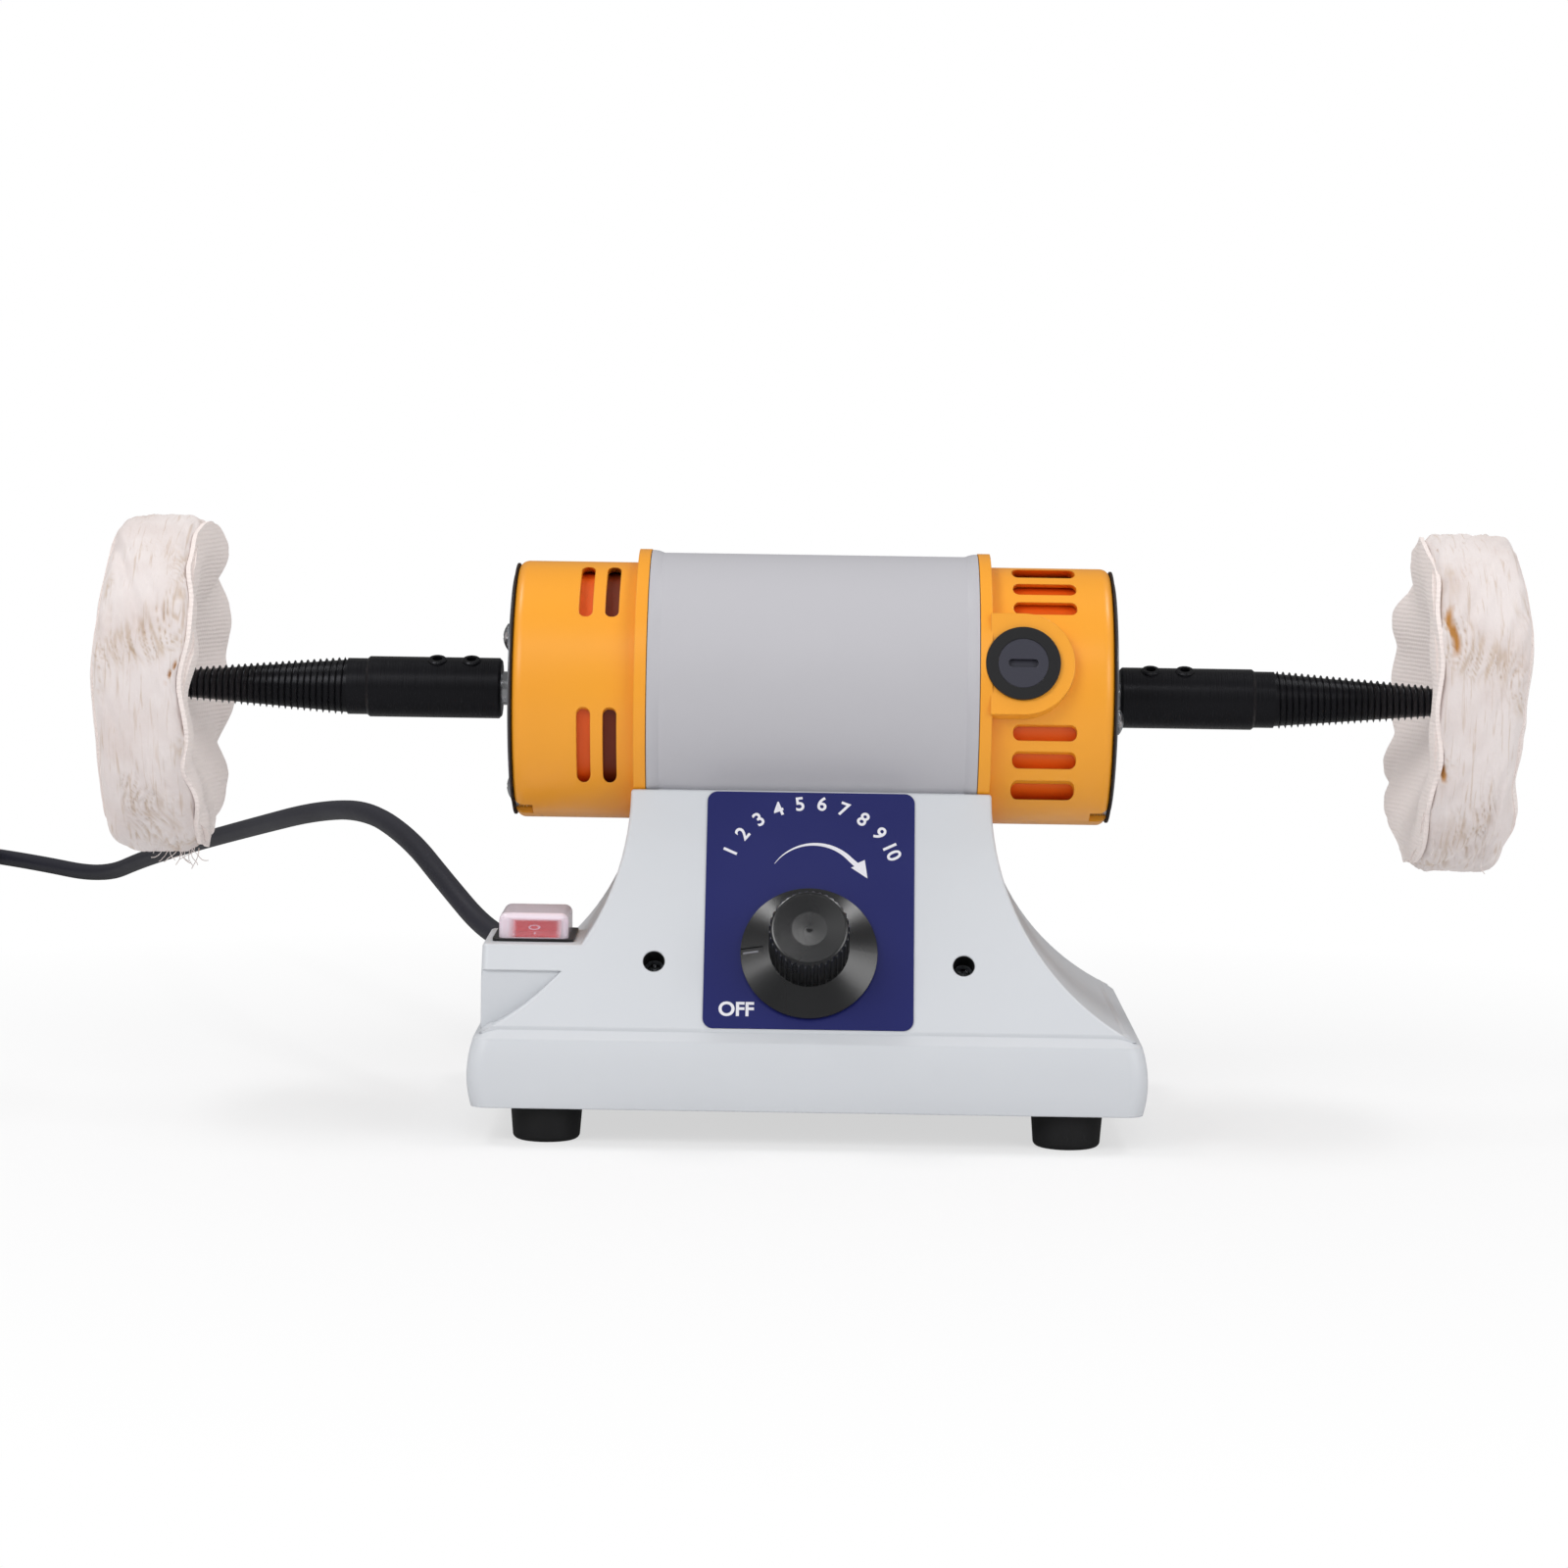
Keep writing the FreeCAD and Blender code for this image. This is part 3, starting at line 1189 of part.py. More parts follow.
outer_rings, inner_rings, cages = [], [], []
for side in SIDES:
    start = "bearing_station" if side > 0 else "-bearing_station - bearing_width"
    outer_ring = ring_of("outer_ring", "bearing_radius", "outer_race_radius", "bearing_width")
    inner_ring = ring_of("inner_ring", "inner_race_radius", "shaft_radius + fit",
                         "bearing_width")
    for ring in (outer_ring, inner_ring):
        place(ring, start, "axis_offset", "axis_height", Y_AXIS, "90")
    pitch = "(inner_race_radius + outer_race_radius) / 2"
    groove = bind(doc.addObject("Part::Torus", "race_groove"), Radius1=pitch,
                  Radius2="ball_radius + slip")
    place(groove, f"{start} + bearing_width / 2", "axis_offset", "axis_height",
          Y_AXIS, "90")
    outer_rings.append(cut("outer_ring_grooved", outer_ring, groove))
    inner_rings.append(cut("inner_ring_grooved", inner_ring, groove))
    cage = new_body("ball_cage")
    turned(cage, [
        ("-1", f"{pitch} - 0.8"), ("1", f"{pitch} - 0.8"), ("1", f"{pitch} + 0.8"),
        ("-1", f"{pitch} + 0.8"),
    ])
    ball = outline(sketch_on(cage, "XZ_Plane"), [
        ("-ball_radius", pitch), ("ball_radius", pitch, "ball_radius", 1),
        ("0", f"{pitch} + ball_radius", "ball_radius", 1),
    ])
    sphere = cage.newObject("PartDesign::Revolution", "ball")
    sphere.Profile = ball
    sphere.ReferenceAxis = (ball, ["Edge1"])
    around(cage, sphere, "X_Axis", "ball_count")
    place(cage, f"{start} + bearing_width / 2", "axis_offset", "axis_height")
    cages.append(cage)
keep(group("outer_ring_group", *outer_rings), "bearing_outer_rings")
keep(group("inner_ring_group", *inner_rings), "bearing_inner_rings")
keep(group("cage_group", *cages), "bearing_balls")

# ---------------------------------------------------------------- stator

yoke_in = f"({SLEEVE_BORE} - slip - yoke_thickness)"
pole_bore = "(armature_radius + air_gap)"
yoke = ring_of("yoke", f"{SLEEVE_BORE} - slip", yoke_in, "2 * stator_half_length")
place(yoke, "-stator_half_length", "axis_offset", "axis_height", Y_AXIS, "90")


def across_poles(item):
    """Local +Z runs across the brush line, through both poles."""
    return place(item, "0", "axis_offset", "axis_height", X_AXIS, "-pull_tilt")


def centred_block(name, half_x, half_y, half_z):
    body = new_body(name)
    drawn = sketch_on(body, "XY_Plane")
    box_outline(drawn, f"-{half_x}", half_x, f"-{half_y}", half_y)
    feature(body, "Pad", drawn, f"2 * {half_z}", True)
    return across_poles(body)


neck_block = centred_block("pole_necks", "stator_half_length", "pole_half_width",
                           f"({yoke_in} + 1)")
shoe_ring = ring_of("shoe_ring", f"{pole_bore} + shoe_thickness", pole_bore,
                    "2 * stator_half_length")
place(shoe_ring, "-stator_half_length", "axis_offset", "axis_height", Y_AXIS, "90")
shoe_block = centred_block("shoe_block", "stator_half_length", "shoe_half_width", "40")
bore_rod = rod("pole_bore_rod", pole_bore, "120")
place(bore_rod, "-60", "axis_offset", "axis_height", Y_AXIS, "90")
shoes = common("pole_shoes", shoe_ring, shoe_block)
stack = joined("stator_stack", yoke, cut("pole_necks_bored", neck_block, bore_rod), shoes)
bolt_holes = []
for sx in SIDES:
    tapped = rod("stator_tapping", "bolt_radius + slip", "yoke_thickness")
    bolt_holes.append(place(tapped, f"{sx} * bolt_spread", "axis_offset",
                            f"axis_height - {SLEEVE_BORE} - 1"))
keep(cut("stator_core_cut", stack, joined("stator_tappings", *bolt_holes)), "stator_core")

wound = centred_block("coil_block", "coil_half_length", "coil_half_width", "40")
window = centred_block("coil_window", "(stator_half_length + 1)", "(pole_half_width + 0.2)",
                       "42")
shell_out = ring_of("coil_shell", f"{yoke_in} - 0.2",
                    f"{pole_bore} + shoe_thickness + 0.2", "2 * coil_half_length")
place(shell_out, "-coil_half_length", "axis_offset", "axis_height", Y_AXIS, "90")
keep(common("field_coils_common", cut("coil_loops", wound, window), shell_out),
     "field_coils")

motor_bolts = []
for sx in SIDES:
    bolt = pan_screw("motor_bolt", "4.5", "3.2", "bolt_radius", "bolt_grip")
    motor_bolts.append(place(
        bolt, f"{sx} * bolt_spread", "axis_offset",
        "axis_height - sleeve_radius - slip - saddle_wall", X_AXIS, "180",
    ))
keep(group("motor_bolt_group", *motor_bolts), "motor_bolts")

# ---------------------------------------------------------------- rotor

shaft = new_body("rotor_shaft_body")
turned(shaft, [
    ("-shaft_half_length", "0"), ("-shaft_half_length", "shaft_radius - 0.6"),
    ("-shaft_half_length + 0.6", "shaft_radius"), ("-bearing_station", "shaft_radius"),
    ("-bearing_station", "shaft_core_radius"), ("bearing_station", "shaft_core_radius"),
    ("bearing_station", "shaft_radius"), ("shaft_half_length - 0.6", "shaft_radius"),
    ("shaft_half_length", "shaft_radius - 0.6"), ("shaft_half_length", "0"),
])
keep(on_motor_axis(shaft), "rotor_shaft")

core = new_body("armature_core_body")
turned(core, [
    ("-stator_half_length", "shaft_core_radius + fit"),
    ("stator_half_length", "shaft_core_radius + fit"),
    ("stator_half_length", "armature_radius"), ("-stator_half_length", "armature_radius"),
])
slot = sketch_on(core, "XY_Plane", "armature_radius + 1")
box_outline(slot, "-stator_half_length - 1", "stator_half_length + 1",
            "-slot_width / 2", "slot_width / 2")
slot_cut = feature(core, "Pocket", slot, "slot_depth + 1")
around(core, slot_cut, "X_Axis", "slot_count")
keep(on_motor_axis(core), "armature_core")

windings = []
for side in SIDES:
    turns = new_body("end_turns")
    inner_end = f"{side} * stator_half_length"
    outer_end = f"{side} * (stator_half_length + end_turn_length)"
    turned(turns, [
        (inner_end, "shaft_core_radius + fit"), (outer_end, "shaft_core_radius + fit"),
        (outer_end, "end_turn_radius - 4"),
        (f"{side} * (stator_half_length + end_turn_length - 3)", "end_turn_radius"),
        (inner_end, "end_turn_radius"),
    ])
    windings.append(on_motor_axis(turns))
keep(group("winding_group", *windings), "armature_windings")

drum = new_body("commutator_body")
turned(drum, [
    ("brush_station - commutator_half_length", "shaft_core_radius + fit"),
    ("brush_station + commutator_half_length", "shaft_core_radius + fit"),
    ("brush_station + commutator_half_length", "commutator_radius"),
    ("brush_station - commutator_half_length", "commutator_radius"),
])
gap = sketch_on(drum, "XY_Plane", "commutator_radius + 1")
box_outline(gap, "brush_station - commutator_half_length - 1",
            "brush_station + commutator_half_length + 1",
            "-segment_gap / 2", "segment_gap / 2")
gap_cut = feature(drum, "Pocket", gap, "2.2")
around(drum, gap_cut, "X_Axis", "segment_count")
keep(on_motor_axis(drum), "commutator")

fan = new_body("cooling_fan_body")
turned(fan, [
    ("-fan_station", "shaft_core_radius + fit"), ("-fan_station", "fan_radius"),
    ("-fan_station - fan_disc", "fan_radius"), ("-fan_station - fan_disc", "11"),
    ("-fan_station - fan_width", "9"),
    ("-fan_station - fan_width", "shaft_core_radius + fit"),
])
blade = sketch_on(fan, "XY_Plane", "8.5")
box_outline(blade, "-fan_station - fan_width", "-fan_station - fan_disc / 2",
            "-0.8", "0.8")
blade_pad = feature(fan, "Pad", blade, "fan_radius - 9.5")
around(fan, blade_pad, "X_Axis", "fan_blades")
keep(on_motor_axis(fan), "cooling_fan")

# ---------------------------------------------------------------- spindles and buffs


def spindle(name, side, start):
    """A clamp sleeve on the shaft that runs out into a tapered screw."""
    body = new_body(name)
    length = "(spindle_body + spindle_neck + thread_length)"

    def out(along):
        return f"{side} * ({start} + {along})"

    turned(body, [
        (out("0"), "shaft_radius + fit"), (out("0"), "spindle_radius - 0.8"),
        (out("0.8"), "spindle_radius"), (out("spindle_body - 0.8"), "spindle_radius"),
        (out("spindle_body"), "spindle_neck_radius"),
        (out("spindle_body + spindle_neck"), "spindle_neck_radius"),
        (out("spindle_body + spindle_neck"), "thread_root_radius"),
        (out(length), "thread_tip_radius"), (out(length), "0"),
        (f"{side} * (shaft_half_length + 1)", "0"),
        (f"{side} * (shaft_half_length + 1)", "shaft_radius + fit"),
    ])
    for k in range(2):
        hole = sketch_on(body, "XY_Plane")
        circle(hole, out(f"set_screw_first + {k} * set_screw_pitch"), "0",
               "set_screw_radius + fit")
        feature(body, "Pocket", hole, "spindle_radius + 2", False, True)
    return place(body, "0", "axis_offset", "axis_height", X_AXIS, "90 - set_screw_lean")


keep(spindle("left_spindle_body", -1, "left_spindle_start"), "left_spindle")
keep(spindle("right_spindle_body", 1, "right_spindle_start"), "right_spindle")

grubs = []
for side, start in ((-1, "left_spindle_start"), (1, "right_spindle_start")):
    for k in range(2):
        grub = new_body("set_screw")
        low = "(shaft_radius + fit)"
        high = "(spindle_radius + set_screw_stand)"
        spun(grub, [
            ("0", low), ("set_screw_radius - 0.5", low),
            ("set_screw_radius", f"{low} + 0.5"), ("set_screw_radius", f"{high} - 0.4"),
            ("set_screw_radius - 0.4", high), ("0", high),
        ])
        socket = sketch_on(grub, "XY_Plane", high)
        circle(socket, "0", "0", "1.5")
        feature(grub, "Pocket", socket, "2")
        along = f"{side} * ({start} + set_screw_first + {k} * set_screw_pitch)"
        grubs.append(place(grub, along, "axis_offset", "axis_height",
                           X_AXIS, "90 - set_screw_lean"))
keep(group("set_screw_group", *grubs), "spindle_set_screws")


def buff(name, side, start):
    """A cotton buff: plies stitched flat at the hub that spread out to a full rim."""
    body = new_body(name)
    root = f"({start} + spindle_body + spindle_neck)"
    face = f"({root} + thread_length + wheel_overhang)"
    hub_out = f"({face} - (wheel_rim_width - wheel_hub_width) / 2)"
    hub_in = f"({face} - (wheel_rim_width + wheel_hub_width) / 2)"
    slope = "((thread_root_radius - thread_tip_radius) / thread_length)"

    def bore(along):
        return f"(thread_root_radius - ({along} - {root}) * {slope} + slip)"

    turned(body, [
        (f"{side} * {hub_in}", bore(hub_in)), (f"{side} * {hub_in}", "wheel_hub_radius"),
        (f"{side} * ({face} - wheel_rim_width)", "wheel_radius - 14"),
        (f"{side} * ({face} - wheel_rim_width)", "wheel_radius - 3"),
        (f"{side} * ({face} - wheel_rim_width + 3)", "wheel_radius"),
        (f"{side} * ({face} - 3)", "wheel_radius"),
        (f"{side} * {face}", "wheel_radius - 3"),
        (f"{side} * {face}", "wheel_radius - 14"),
        (f"{side} * {hub_out}", "wheel_hub_radius"), (f"{side} * {hub_out}", bore(hub_out)),
    ])
    return on_motor_axis(body)


keep(buff("left_buff_body", -1, "left_spindle_start"), "left_buff_wheel")
keep(buff("right_buff_body", 1, "right_spindle_start"), "right_buff_wheel")

# ---------------------------------------------------------------- mains cord

grip = new_body("cord_grip_body")
spun(grip, [
    ("cord_radius + slip", "-4"), ("cord_radius + 1.6", "-4"), ("cord_radius + 1.6", "0"),
    ("cord_radius + 3.2", "0"), ("cord_radius + 3.2", "2"), ("cord_radius + 2.2", "2"),
    ("cord_radius + 0.9", "grip_length_out"), ("cord_radius + slip", "grip_length_out"),
])
place(grip, CORD_X, "-box_back", CORD_Z, X_AXIS, "-90")
keep(grip, "cord_grip")

# The cord's points in the machine's own frame.
ROUTE = (
    (-84, -11, 46), (-84, 17, 46), (-99, 46, 47.5), (-114.5, 80, 58.5), (-129.5, 122, 68),
    (-148.5, 172, 72.5), (-173, 236, 65.5), (-204.5, 324, 51), (-237, 412, 36),
    (-273, 502, 19), (-301, 570, 3.4), (-340, 622, 3.4), (-381, 664, 3.4),
)


def cord_path(points):
    """Straight runs joined by tangent arcs, each as large as its two runs allow."""
    spots = [V(*p) for p in points]
    edges, at = [], spots[0]
    for a, b, c in zip(spots, spots[1:], spots[2:]):
        into, away = b - a, c - b
        half = into.getAngle(away) / 2
        trim = 0.45 * min(into.Length, away.Length)
        radius = trim / math.tan(half)
        print(f"cord arc radius {radius:.0f} mm at {tuple(b)}")
        start = b - into.normalize() * trim
        stop = b + away.normalize() * trim
        inward = (away - into).normalize()
        middle = b + inward * (radius / math.cos(half) - radius)
        edges.append(Part.LineSegment(at, start).toShape())
        edges.append(Part.Arc(start, middle, stop).toShape())
        at = stop
    edges.append(Part.LineSegment(at, spots[-1]).toShape())
    return Part.Wire(edges)


route = cord_path(ROUTE)
cord_radius = number("cord_radius")
first = V(*ROUTE[1]) - V(*ROUTE[0])
section = Part.Wire(Part.Circle(V(*ROUTE[0]), first, cord_radius).toShape())
cord = doc.addObject("Part::Feature", "power_cord_shape")
cord.Shape = route.makePipeShell([section], True, False)
wanted = math.pi * cord_radius**2 * route.Length
print(f"cord length {route.Length:.0f} mm, volume ratio {cord.Shape.Volume / wanted:.4f}")
keep(cord, "power_cord", in_place=True)

END = V(*ROUTE[-1])
HEADING = (END - V(*ROUTE[-2])).normalize()
turn_radius = number("coil_turn_radius")
centre = END + V(-HEADING.y, HEADING.x, 0) * turn_radius
coil = new_body("cord_coil_body")
spun(coil, [
    ("coil_turn_radius - 6.8", "3"), ("coil_turn_radius - 3.8", "0"),
    ("coil_turn_radius + 3.8", "0"), ("coil_turn_radius + 6.8", "3"),
    ("coil_turn_radius + 6.8", "coil_stack - 3"), ("coil_turn_radius + 3.8", "coil_stack"),
    ("coil_turn_radius - 3.8", "coil_stack"), ("coil_turn_radius - 6.8", "coil_stack - 3"),
])
coil.Placement = FreeCAD.Placement(V(centre.x, centre.y, 0), FreeCAD.Rotation())
keep(coil, "cord_coil", in_place=True)

plug = new_body("plug_body_form")
spun(plug, [
    ("0", "0"), ("4.2", "0"), ("5.4", "20"), ("11", "26"), ("plug_radius", "34"),
    ("plug_radius", "52"), ("11", "plug_length"), ("0", "plug_length"),
])
plug_x = centre.x - turn_radius
plug_y = centre.y - number("plug_start")
plug_level = number("plug_radius")
plug.Placement = FreeCAD.Placement(
    V(plug_x, plug_y, plug_level), FreeCAD.Rotation(X_AXIS, 90)
)
keep(plug, "plug_body", in_place=True)
pins = []
for sx in SIDES:
    pin = rod("plug_pin", "pin_radius", "pin_length")
    pins.append(pin)
    pin.Placement = FreeCAD.Placement(
        V(plug_x + sx * number("pin_spread"), plug_y - number("plug_length"), plug_level),
        FreeCAD.Rotation(X_AXIS, 90),
    )
keep(group("pin_group", *pins), "plug_pins", in_place=True)

# ---------------------------------------------------------------- checks and files

doc.recompute()
faults = []
for item in doc.Objects:
    if any(word in item.State for word in ("Invalid", "Error")):
        faults.append(f"{item.Label}: {item.State}")
    if item.TypeId in ("PartDesign::Pocket", "PartDesign::Groove"):
        before = item.BaseFeature.Shape.Volume
        if item.Shape.Volume > before - 0.01:
            faults.append(f"{item.Label} of {item.getParent().Label} cuts nothing")
for item in kept:
    if item.Shape.isNull() or not item.Shape.isValid() or not item.Shape.Solids:
        faults.append(f"{item.Label}: no sound solid")
if faults:
    raise RuntimeError("; ".join(faults))
for item in kept:
    item.Shape.exportStep(f"parts/{item.Label}.step")
    print(f"{item.Label}: {len(item.Shape.Solids)} solids, {item.Shape.Volume:.0f} mm3")
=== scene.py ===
"""Looks of a double-ended polishing lathe: its base, screw spindles, cotton buffs, dial and mains lead."""
import math
import random

import bmesh
import bpy
from mathutils import Matrix, Vector, noise


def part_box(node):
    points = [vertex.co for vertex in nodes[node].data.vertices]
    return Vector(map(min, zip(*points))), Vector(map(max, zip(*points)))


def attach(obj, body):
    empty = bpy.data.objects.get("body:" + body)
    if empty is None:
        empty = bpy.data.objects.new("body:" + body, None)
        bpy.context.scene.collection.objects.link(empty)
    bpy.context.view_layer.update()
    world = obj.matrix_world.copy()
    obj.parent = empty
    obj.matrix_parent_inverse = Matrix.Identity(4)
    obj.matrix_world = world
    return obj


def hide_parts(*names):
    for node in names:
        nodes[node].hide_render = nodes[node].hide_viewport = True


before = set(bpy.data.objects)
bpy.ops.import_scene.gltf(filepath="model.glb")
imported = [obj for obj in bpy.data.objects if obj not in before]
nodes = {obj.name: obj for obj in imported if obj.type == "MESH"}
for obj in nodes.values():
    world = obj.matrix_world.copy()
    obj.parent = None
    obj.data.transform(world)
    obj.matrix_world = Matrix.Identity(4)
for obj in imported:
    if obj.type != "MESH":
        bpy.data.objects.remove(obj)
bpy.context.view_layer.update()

MM = 0.001                                # one millimetre; the places below are in mm
AXIS = Vector((0, 9.2, 125))              # a point on the motor's axis, which lies along X
KNOB_FOOT = Vector((0, -46.87, 53.8))     # where the knob's axis meets the sloping front
PANEL_UP = Vector((0, 0.4431, 0.8965))    # up the sloping front
PANEL_OUT = Vector((0, -0.8965, 0.4431))  # out of it
FILM_FACE = 0.4                           # the label's face above the front


# ---------------------------------------------------------------- camera, stage and lamps

def bench_camera():
    """Stands in front of the lathe, a little above its axis, and tips down five degrees."""
    place = Vector((-1.769, -1290.8, 213.98)) * MM
    pitch, yaw, roll = 0.089208, -0.0049, 0.01495
    ahead = Vector((math.sin(yaw) * math.cos(pitch), math.cos(yaw) * math.cos(pitch), -math.sin(pitch)))
    level = Vector((math.cos(yaw), -math.sin(yaw), 0))
    rise = level.cross(ahead)
    right = level * math.cos(roll) + rise * math.sin(roll)
    up = rise * math.cos(roll) - level * math.sin(roll)
    data = bpy.data.cameras.new("bench_camera")
    data.lens, data.sensor_width = 100.62, 36
    data.clip_start, data.clip_end = 0.05, 30
    made = bpy.data.objects.new("bench_camera", data)
    bpy.context.scene.collection.objects.link(made)
    made.matrix_world = Matrix.Translation(place) @ Matrix((right, up, -ahead)).transposed().to_4x4()
    bpy.context.scene.camera = made


def softbox(name, place, target, size, power):
    """A rectangular lamp with a diffuser, at place and turned to target; in metres and watts."""
    data = bpy.data.lights.new(name, "AREA")
    data.shape, data.size, data.size_y = "RECTANGLE", size[0], size[1]
    data.energy = power
    made = bpy.data.objects.new(name, data)
    bpy.context.scene.collection.objects.link(made)
    made.location = place
    made.rotation_euler = (Vector(target) - Vector(place)).to_track_quat("-Z", "Y").to_euler()


bench_camera()
bpy.context.scene.view_settings.view_transform = "Standard"


# ---------------------------------------------------------------- the mains lead

ROUTE = ((-84, -11, 46), (-84, 17, 46), (-99, 46, 47.5), (-114.5, 80, 58.5), (-129.5, 122, 68),
         (-148.5, 172, 72.5), (-173, 236, 65.5), (-204.5, 324, 51), (-237, 412, 36), (-273, 502, 19),
         (-301, 570, 3.4), (-340, 622, 3.4), (-381, 664, 3.4))
LEAD_RADIUS = 3.4
COIL_MIDDLE, COIL_RADIUS = (-406.8, 638.8), 36
PLUG_END = (-442.8, 619.85, 13)    # where the cord goes into the plug


def between(low, high, at):
    """0 before low, 1 after high, and a smooth rise between them."""
    share = min(1, max(0, (at - low) / (high - low)))
    return share * share * (3 - 2 * share)


def on_coil(angle, out, height):
    """A place out mm from the middle of the coil."""
    return COIL_MIDDLE[0] + out * math.cos(angle), COIL_MIDDLE[1] + out * math.sin(angle), height


def coil_points():
    """The stored turns: the lower layer closes in, and the upper one opens out again over it."""
    first, sweep, step = 44.2, 1577, 15
    stretch = 1.009    # the curve passes this much inside its points
    points = []
    for turned in range(step, sweep, step):
        wider = between(0, 50, turned) - 2 * between(255, 330, turned) + 2 * between(1085, 1150, turned)
        out = stretch * (COIL_RADIUS + LEAD_RADIUS * wider)
        height = LEAD_RADIUS * (1 + 2 * between(650, 720, turned))
        points.append(on_coil(math.radians(first + turned), out, height))
    return points


def mains_lead():
    """Leaves the back of the switch box, arches down to the bench and ends in a tied coil and a plug."""
    plug_x, _, plug_z = PLUG_END
    points = list(ROUTE) + coil_points() + [(plug_x, 630, 11.6), (plug_x, 622, 12.8), (plug_x, 612, plug_z)]
    curve = bpy.data.curves.new("mains_lead", "CURVE")
    curve.dimensions = "3D"
    spline = curve.splines.new("NURBS")
    spline.points.add(len(points) - 1)
    for knot, place in zip(spline.points, points):
        knot.co = (*(Vector(place) * MM), 1)
        knot.radius = LEAD_RADIUS * MM
    spline.order_u, spline.use_endpoint_u, spline.resolution_u = 3, True, 10
    curve.bevel_depth, curve.bevel_resolution = 1, 5    # the knots carry the thickness
    curve.use_fill_caps = True
    made = bpy.data.objects.new("mains_lead", curve)
    bpy.context.scene.collection.objects.link(made)
    return made


lead = mains_lead()
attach(lead, "base")
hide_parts("power_cord", "cord_coil")


# ---------------------------------------------------------------- making things

def only(item):
    """Makes item the active object, and the one that is selected."""
    bpy.ops.object.select_all(action="DESELECT")
    item.select_set(True)
    bpy.context.view_layer.objects.active = item


def editing(item, start="DESELECT"):
    """Opens item's mesh and gives it back, with nothing or all of it selected."""
    only(item)
    bpy.ops.object.mode_set(mode="EDIT")
    bpy.ops.mesh.select_all(action=start)
    return bmesh.from_edit_mesh(item.data)


def done():
    bpy.ops.object.mode_set(mode="OBJECT")


def named(name):
    made = bpy.context.object
    made.name = made.data.name = name
    return made


def settle(item):
    """Puts the object's place, turn and scale into its mesh."""
    only(item)
    bpy.ops.object.transform_apply(location=True, rotation=True, scale=True)
    return item


def stood(item, place, turn):
    """Turns item about its origin and carries it to a place in mm."""
    item.matrix_world = Matrix.Translation(Vector(place) * MM) @ turn
    return settle(item)


def pointing(direction):
    """The turn that points a piece's own +X that way."""
    return Vector(direction).to_track_quat("X", "Z").to_matrix().to_4x4()


def applied(item, kind, **settings):
    """Adds a modifier, sets it and applies it."""
    only(item)
    change = item.modifiers.new(kind.lower(), kind)
    for key, value in settings.items():
        setattr(change, key, value)
    bpy.ops.object.modifier_apply(modifier=change.name)
    return item


def smooth(item, degrees=35):
    only(item)
    bpy.ops.object.shade_smooth_by_angle(angle=math.radians(degrees))
    return item


def outward(item):
    """Merges doubles and turns every face outward."""
    editing(item, "SELECT")
    bpy.ops.mesh.remove_doubles(threshold=1e-6)
    bpy.ops.mesh.normals_make_consistent(inside=False)
    done()
    return item


def joined(name, items):
    only(items[0])
    for item in items:
        item.select_set(True)
    bpy.ops.object.join()
    return named(name)


def outlined(name, places, fill="NOTHING"):
    """A closed outline through places in mm: bare edges, or one flat face where fill is NGON."""
    bpy.ops.mesh.primitive_circle_add(vertices=len(places), radius=1, fill_type=fill)
    made = named(name)
    mesh = editing(made)
    mesh.verts.ensure_lookup_table()
    for vertex, place in zip(mesh.verts, places):
        vertex.co = Vector(place) * MM
    bmesh.update_edit_mesh(made.data)
    done()
    return made


def lathe(name, outline, steps=64, sweep=360):
    """Turns an outline of (along, radius) pairs in mm about the X axis into a closed solid."""
    made = outlined(name, [(along, 0, radius) for along, radius in outline])
    applied(made, "SCREW", axis="X", angle=math.radians(sweep), screw_offset=0, steps=steps,
            render_steps=steps, use_merge_vertices=sweep == 360, merge_threshold=1e-6)
    if sweep < 360:
        editing(made, "SELECT")
        bpy.ops.mesh.fill_holes(sides=0)
        done()
    return outward(made)


def bar(name, size, soft=0.0):
    """A block of a size in mm about the origin, its edges rounded by soft mm."""
    bpy.ops.mesh.primitive_cube_add(size=1)
    made = named(name)
    editing(made, "SELECT")
    bpy.ops.transform.resize(value=[one * MM for one in size], center_override=(0, 0, 0))
    if soft:
        bpy.ops.mesh.bevel(offset=soft * MM, segments=2, affect="EDGES")
    done()
    return made


def dress(material, *names):
    for name in names:
        item = nodes[name] if isinstance(name, str) else name
        item.data.materials.clear()
        item.data.materials.append(material)


def carried(item, material, body, slot, *replaced):
    """Dresses a finished piece and lets it ride on a body, in place of the nodes it stands for."""
    dress(material, item)
    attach(item, body)
    if replaced:
        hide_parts(*replaced)


# ---------------------------------------------------------------- finishes

def linear(code):
    """An sRGB hex colour as the linear values that shaders take."""
    parts = [int(code[i:i + 2], 16) / 255 for i in (1, 3, 5)]
    return tuple(c / 12.92 if c <= 0.04045 else ((c + 0.055) / 1.055) ** 2.4 for c in parts) + (1,)


def add_node(tree, kind, sockets=None, **settings):
    """Adds a shader node; a socket takes a value, or another node's output."""
    made = tree.nodes.new("ShaderNode" + kind)
    for key, value in settings.items():
        setattr(made, key, value)
    for key, value in (sockets or {}).items():
        if isinstance(value, bpy.types.NodeSocket):
            tree.links.new(value, made.inputs[key])
        else:
            made.inputs[key].default_value = value
    return made


def finish(name, colour, roughness, **sockets):
    """A material with one Principled shader, and its object coordinates in metres."""
    material = bpy.data.materials.new(name)
    material.use_nodes = True
    tree = material.node_tree
    shader = tree.nodes["Principled BSDF"]
    shader.inputs["Base Color"].default_value = linear(colour)
    shader.inputs["Roughness"].default_value = roughness
    for key, value in sockets.items():
        shader.inputs[key.replace("_", " ")].default_value = value
    return material, tree, shader, add_node(tree, "TexCoord").outputs["Object"]


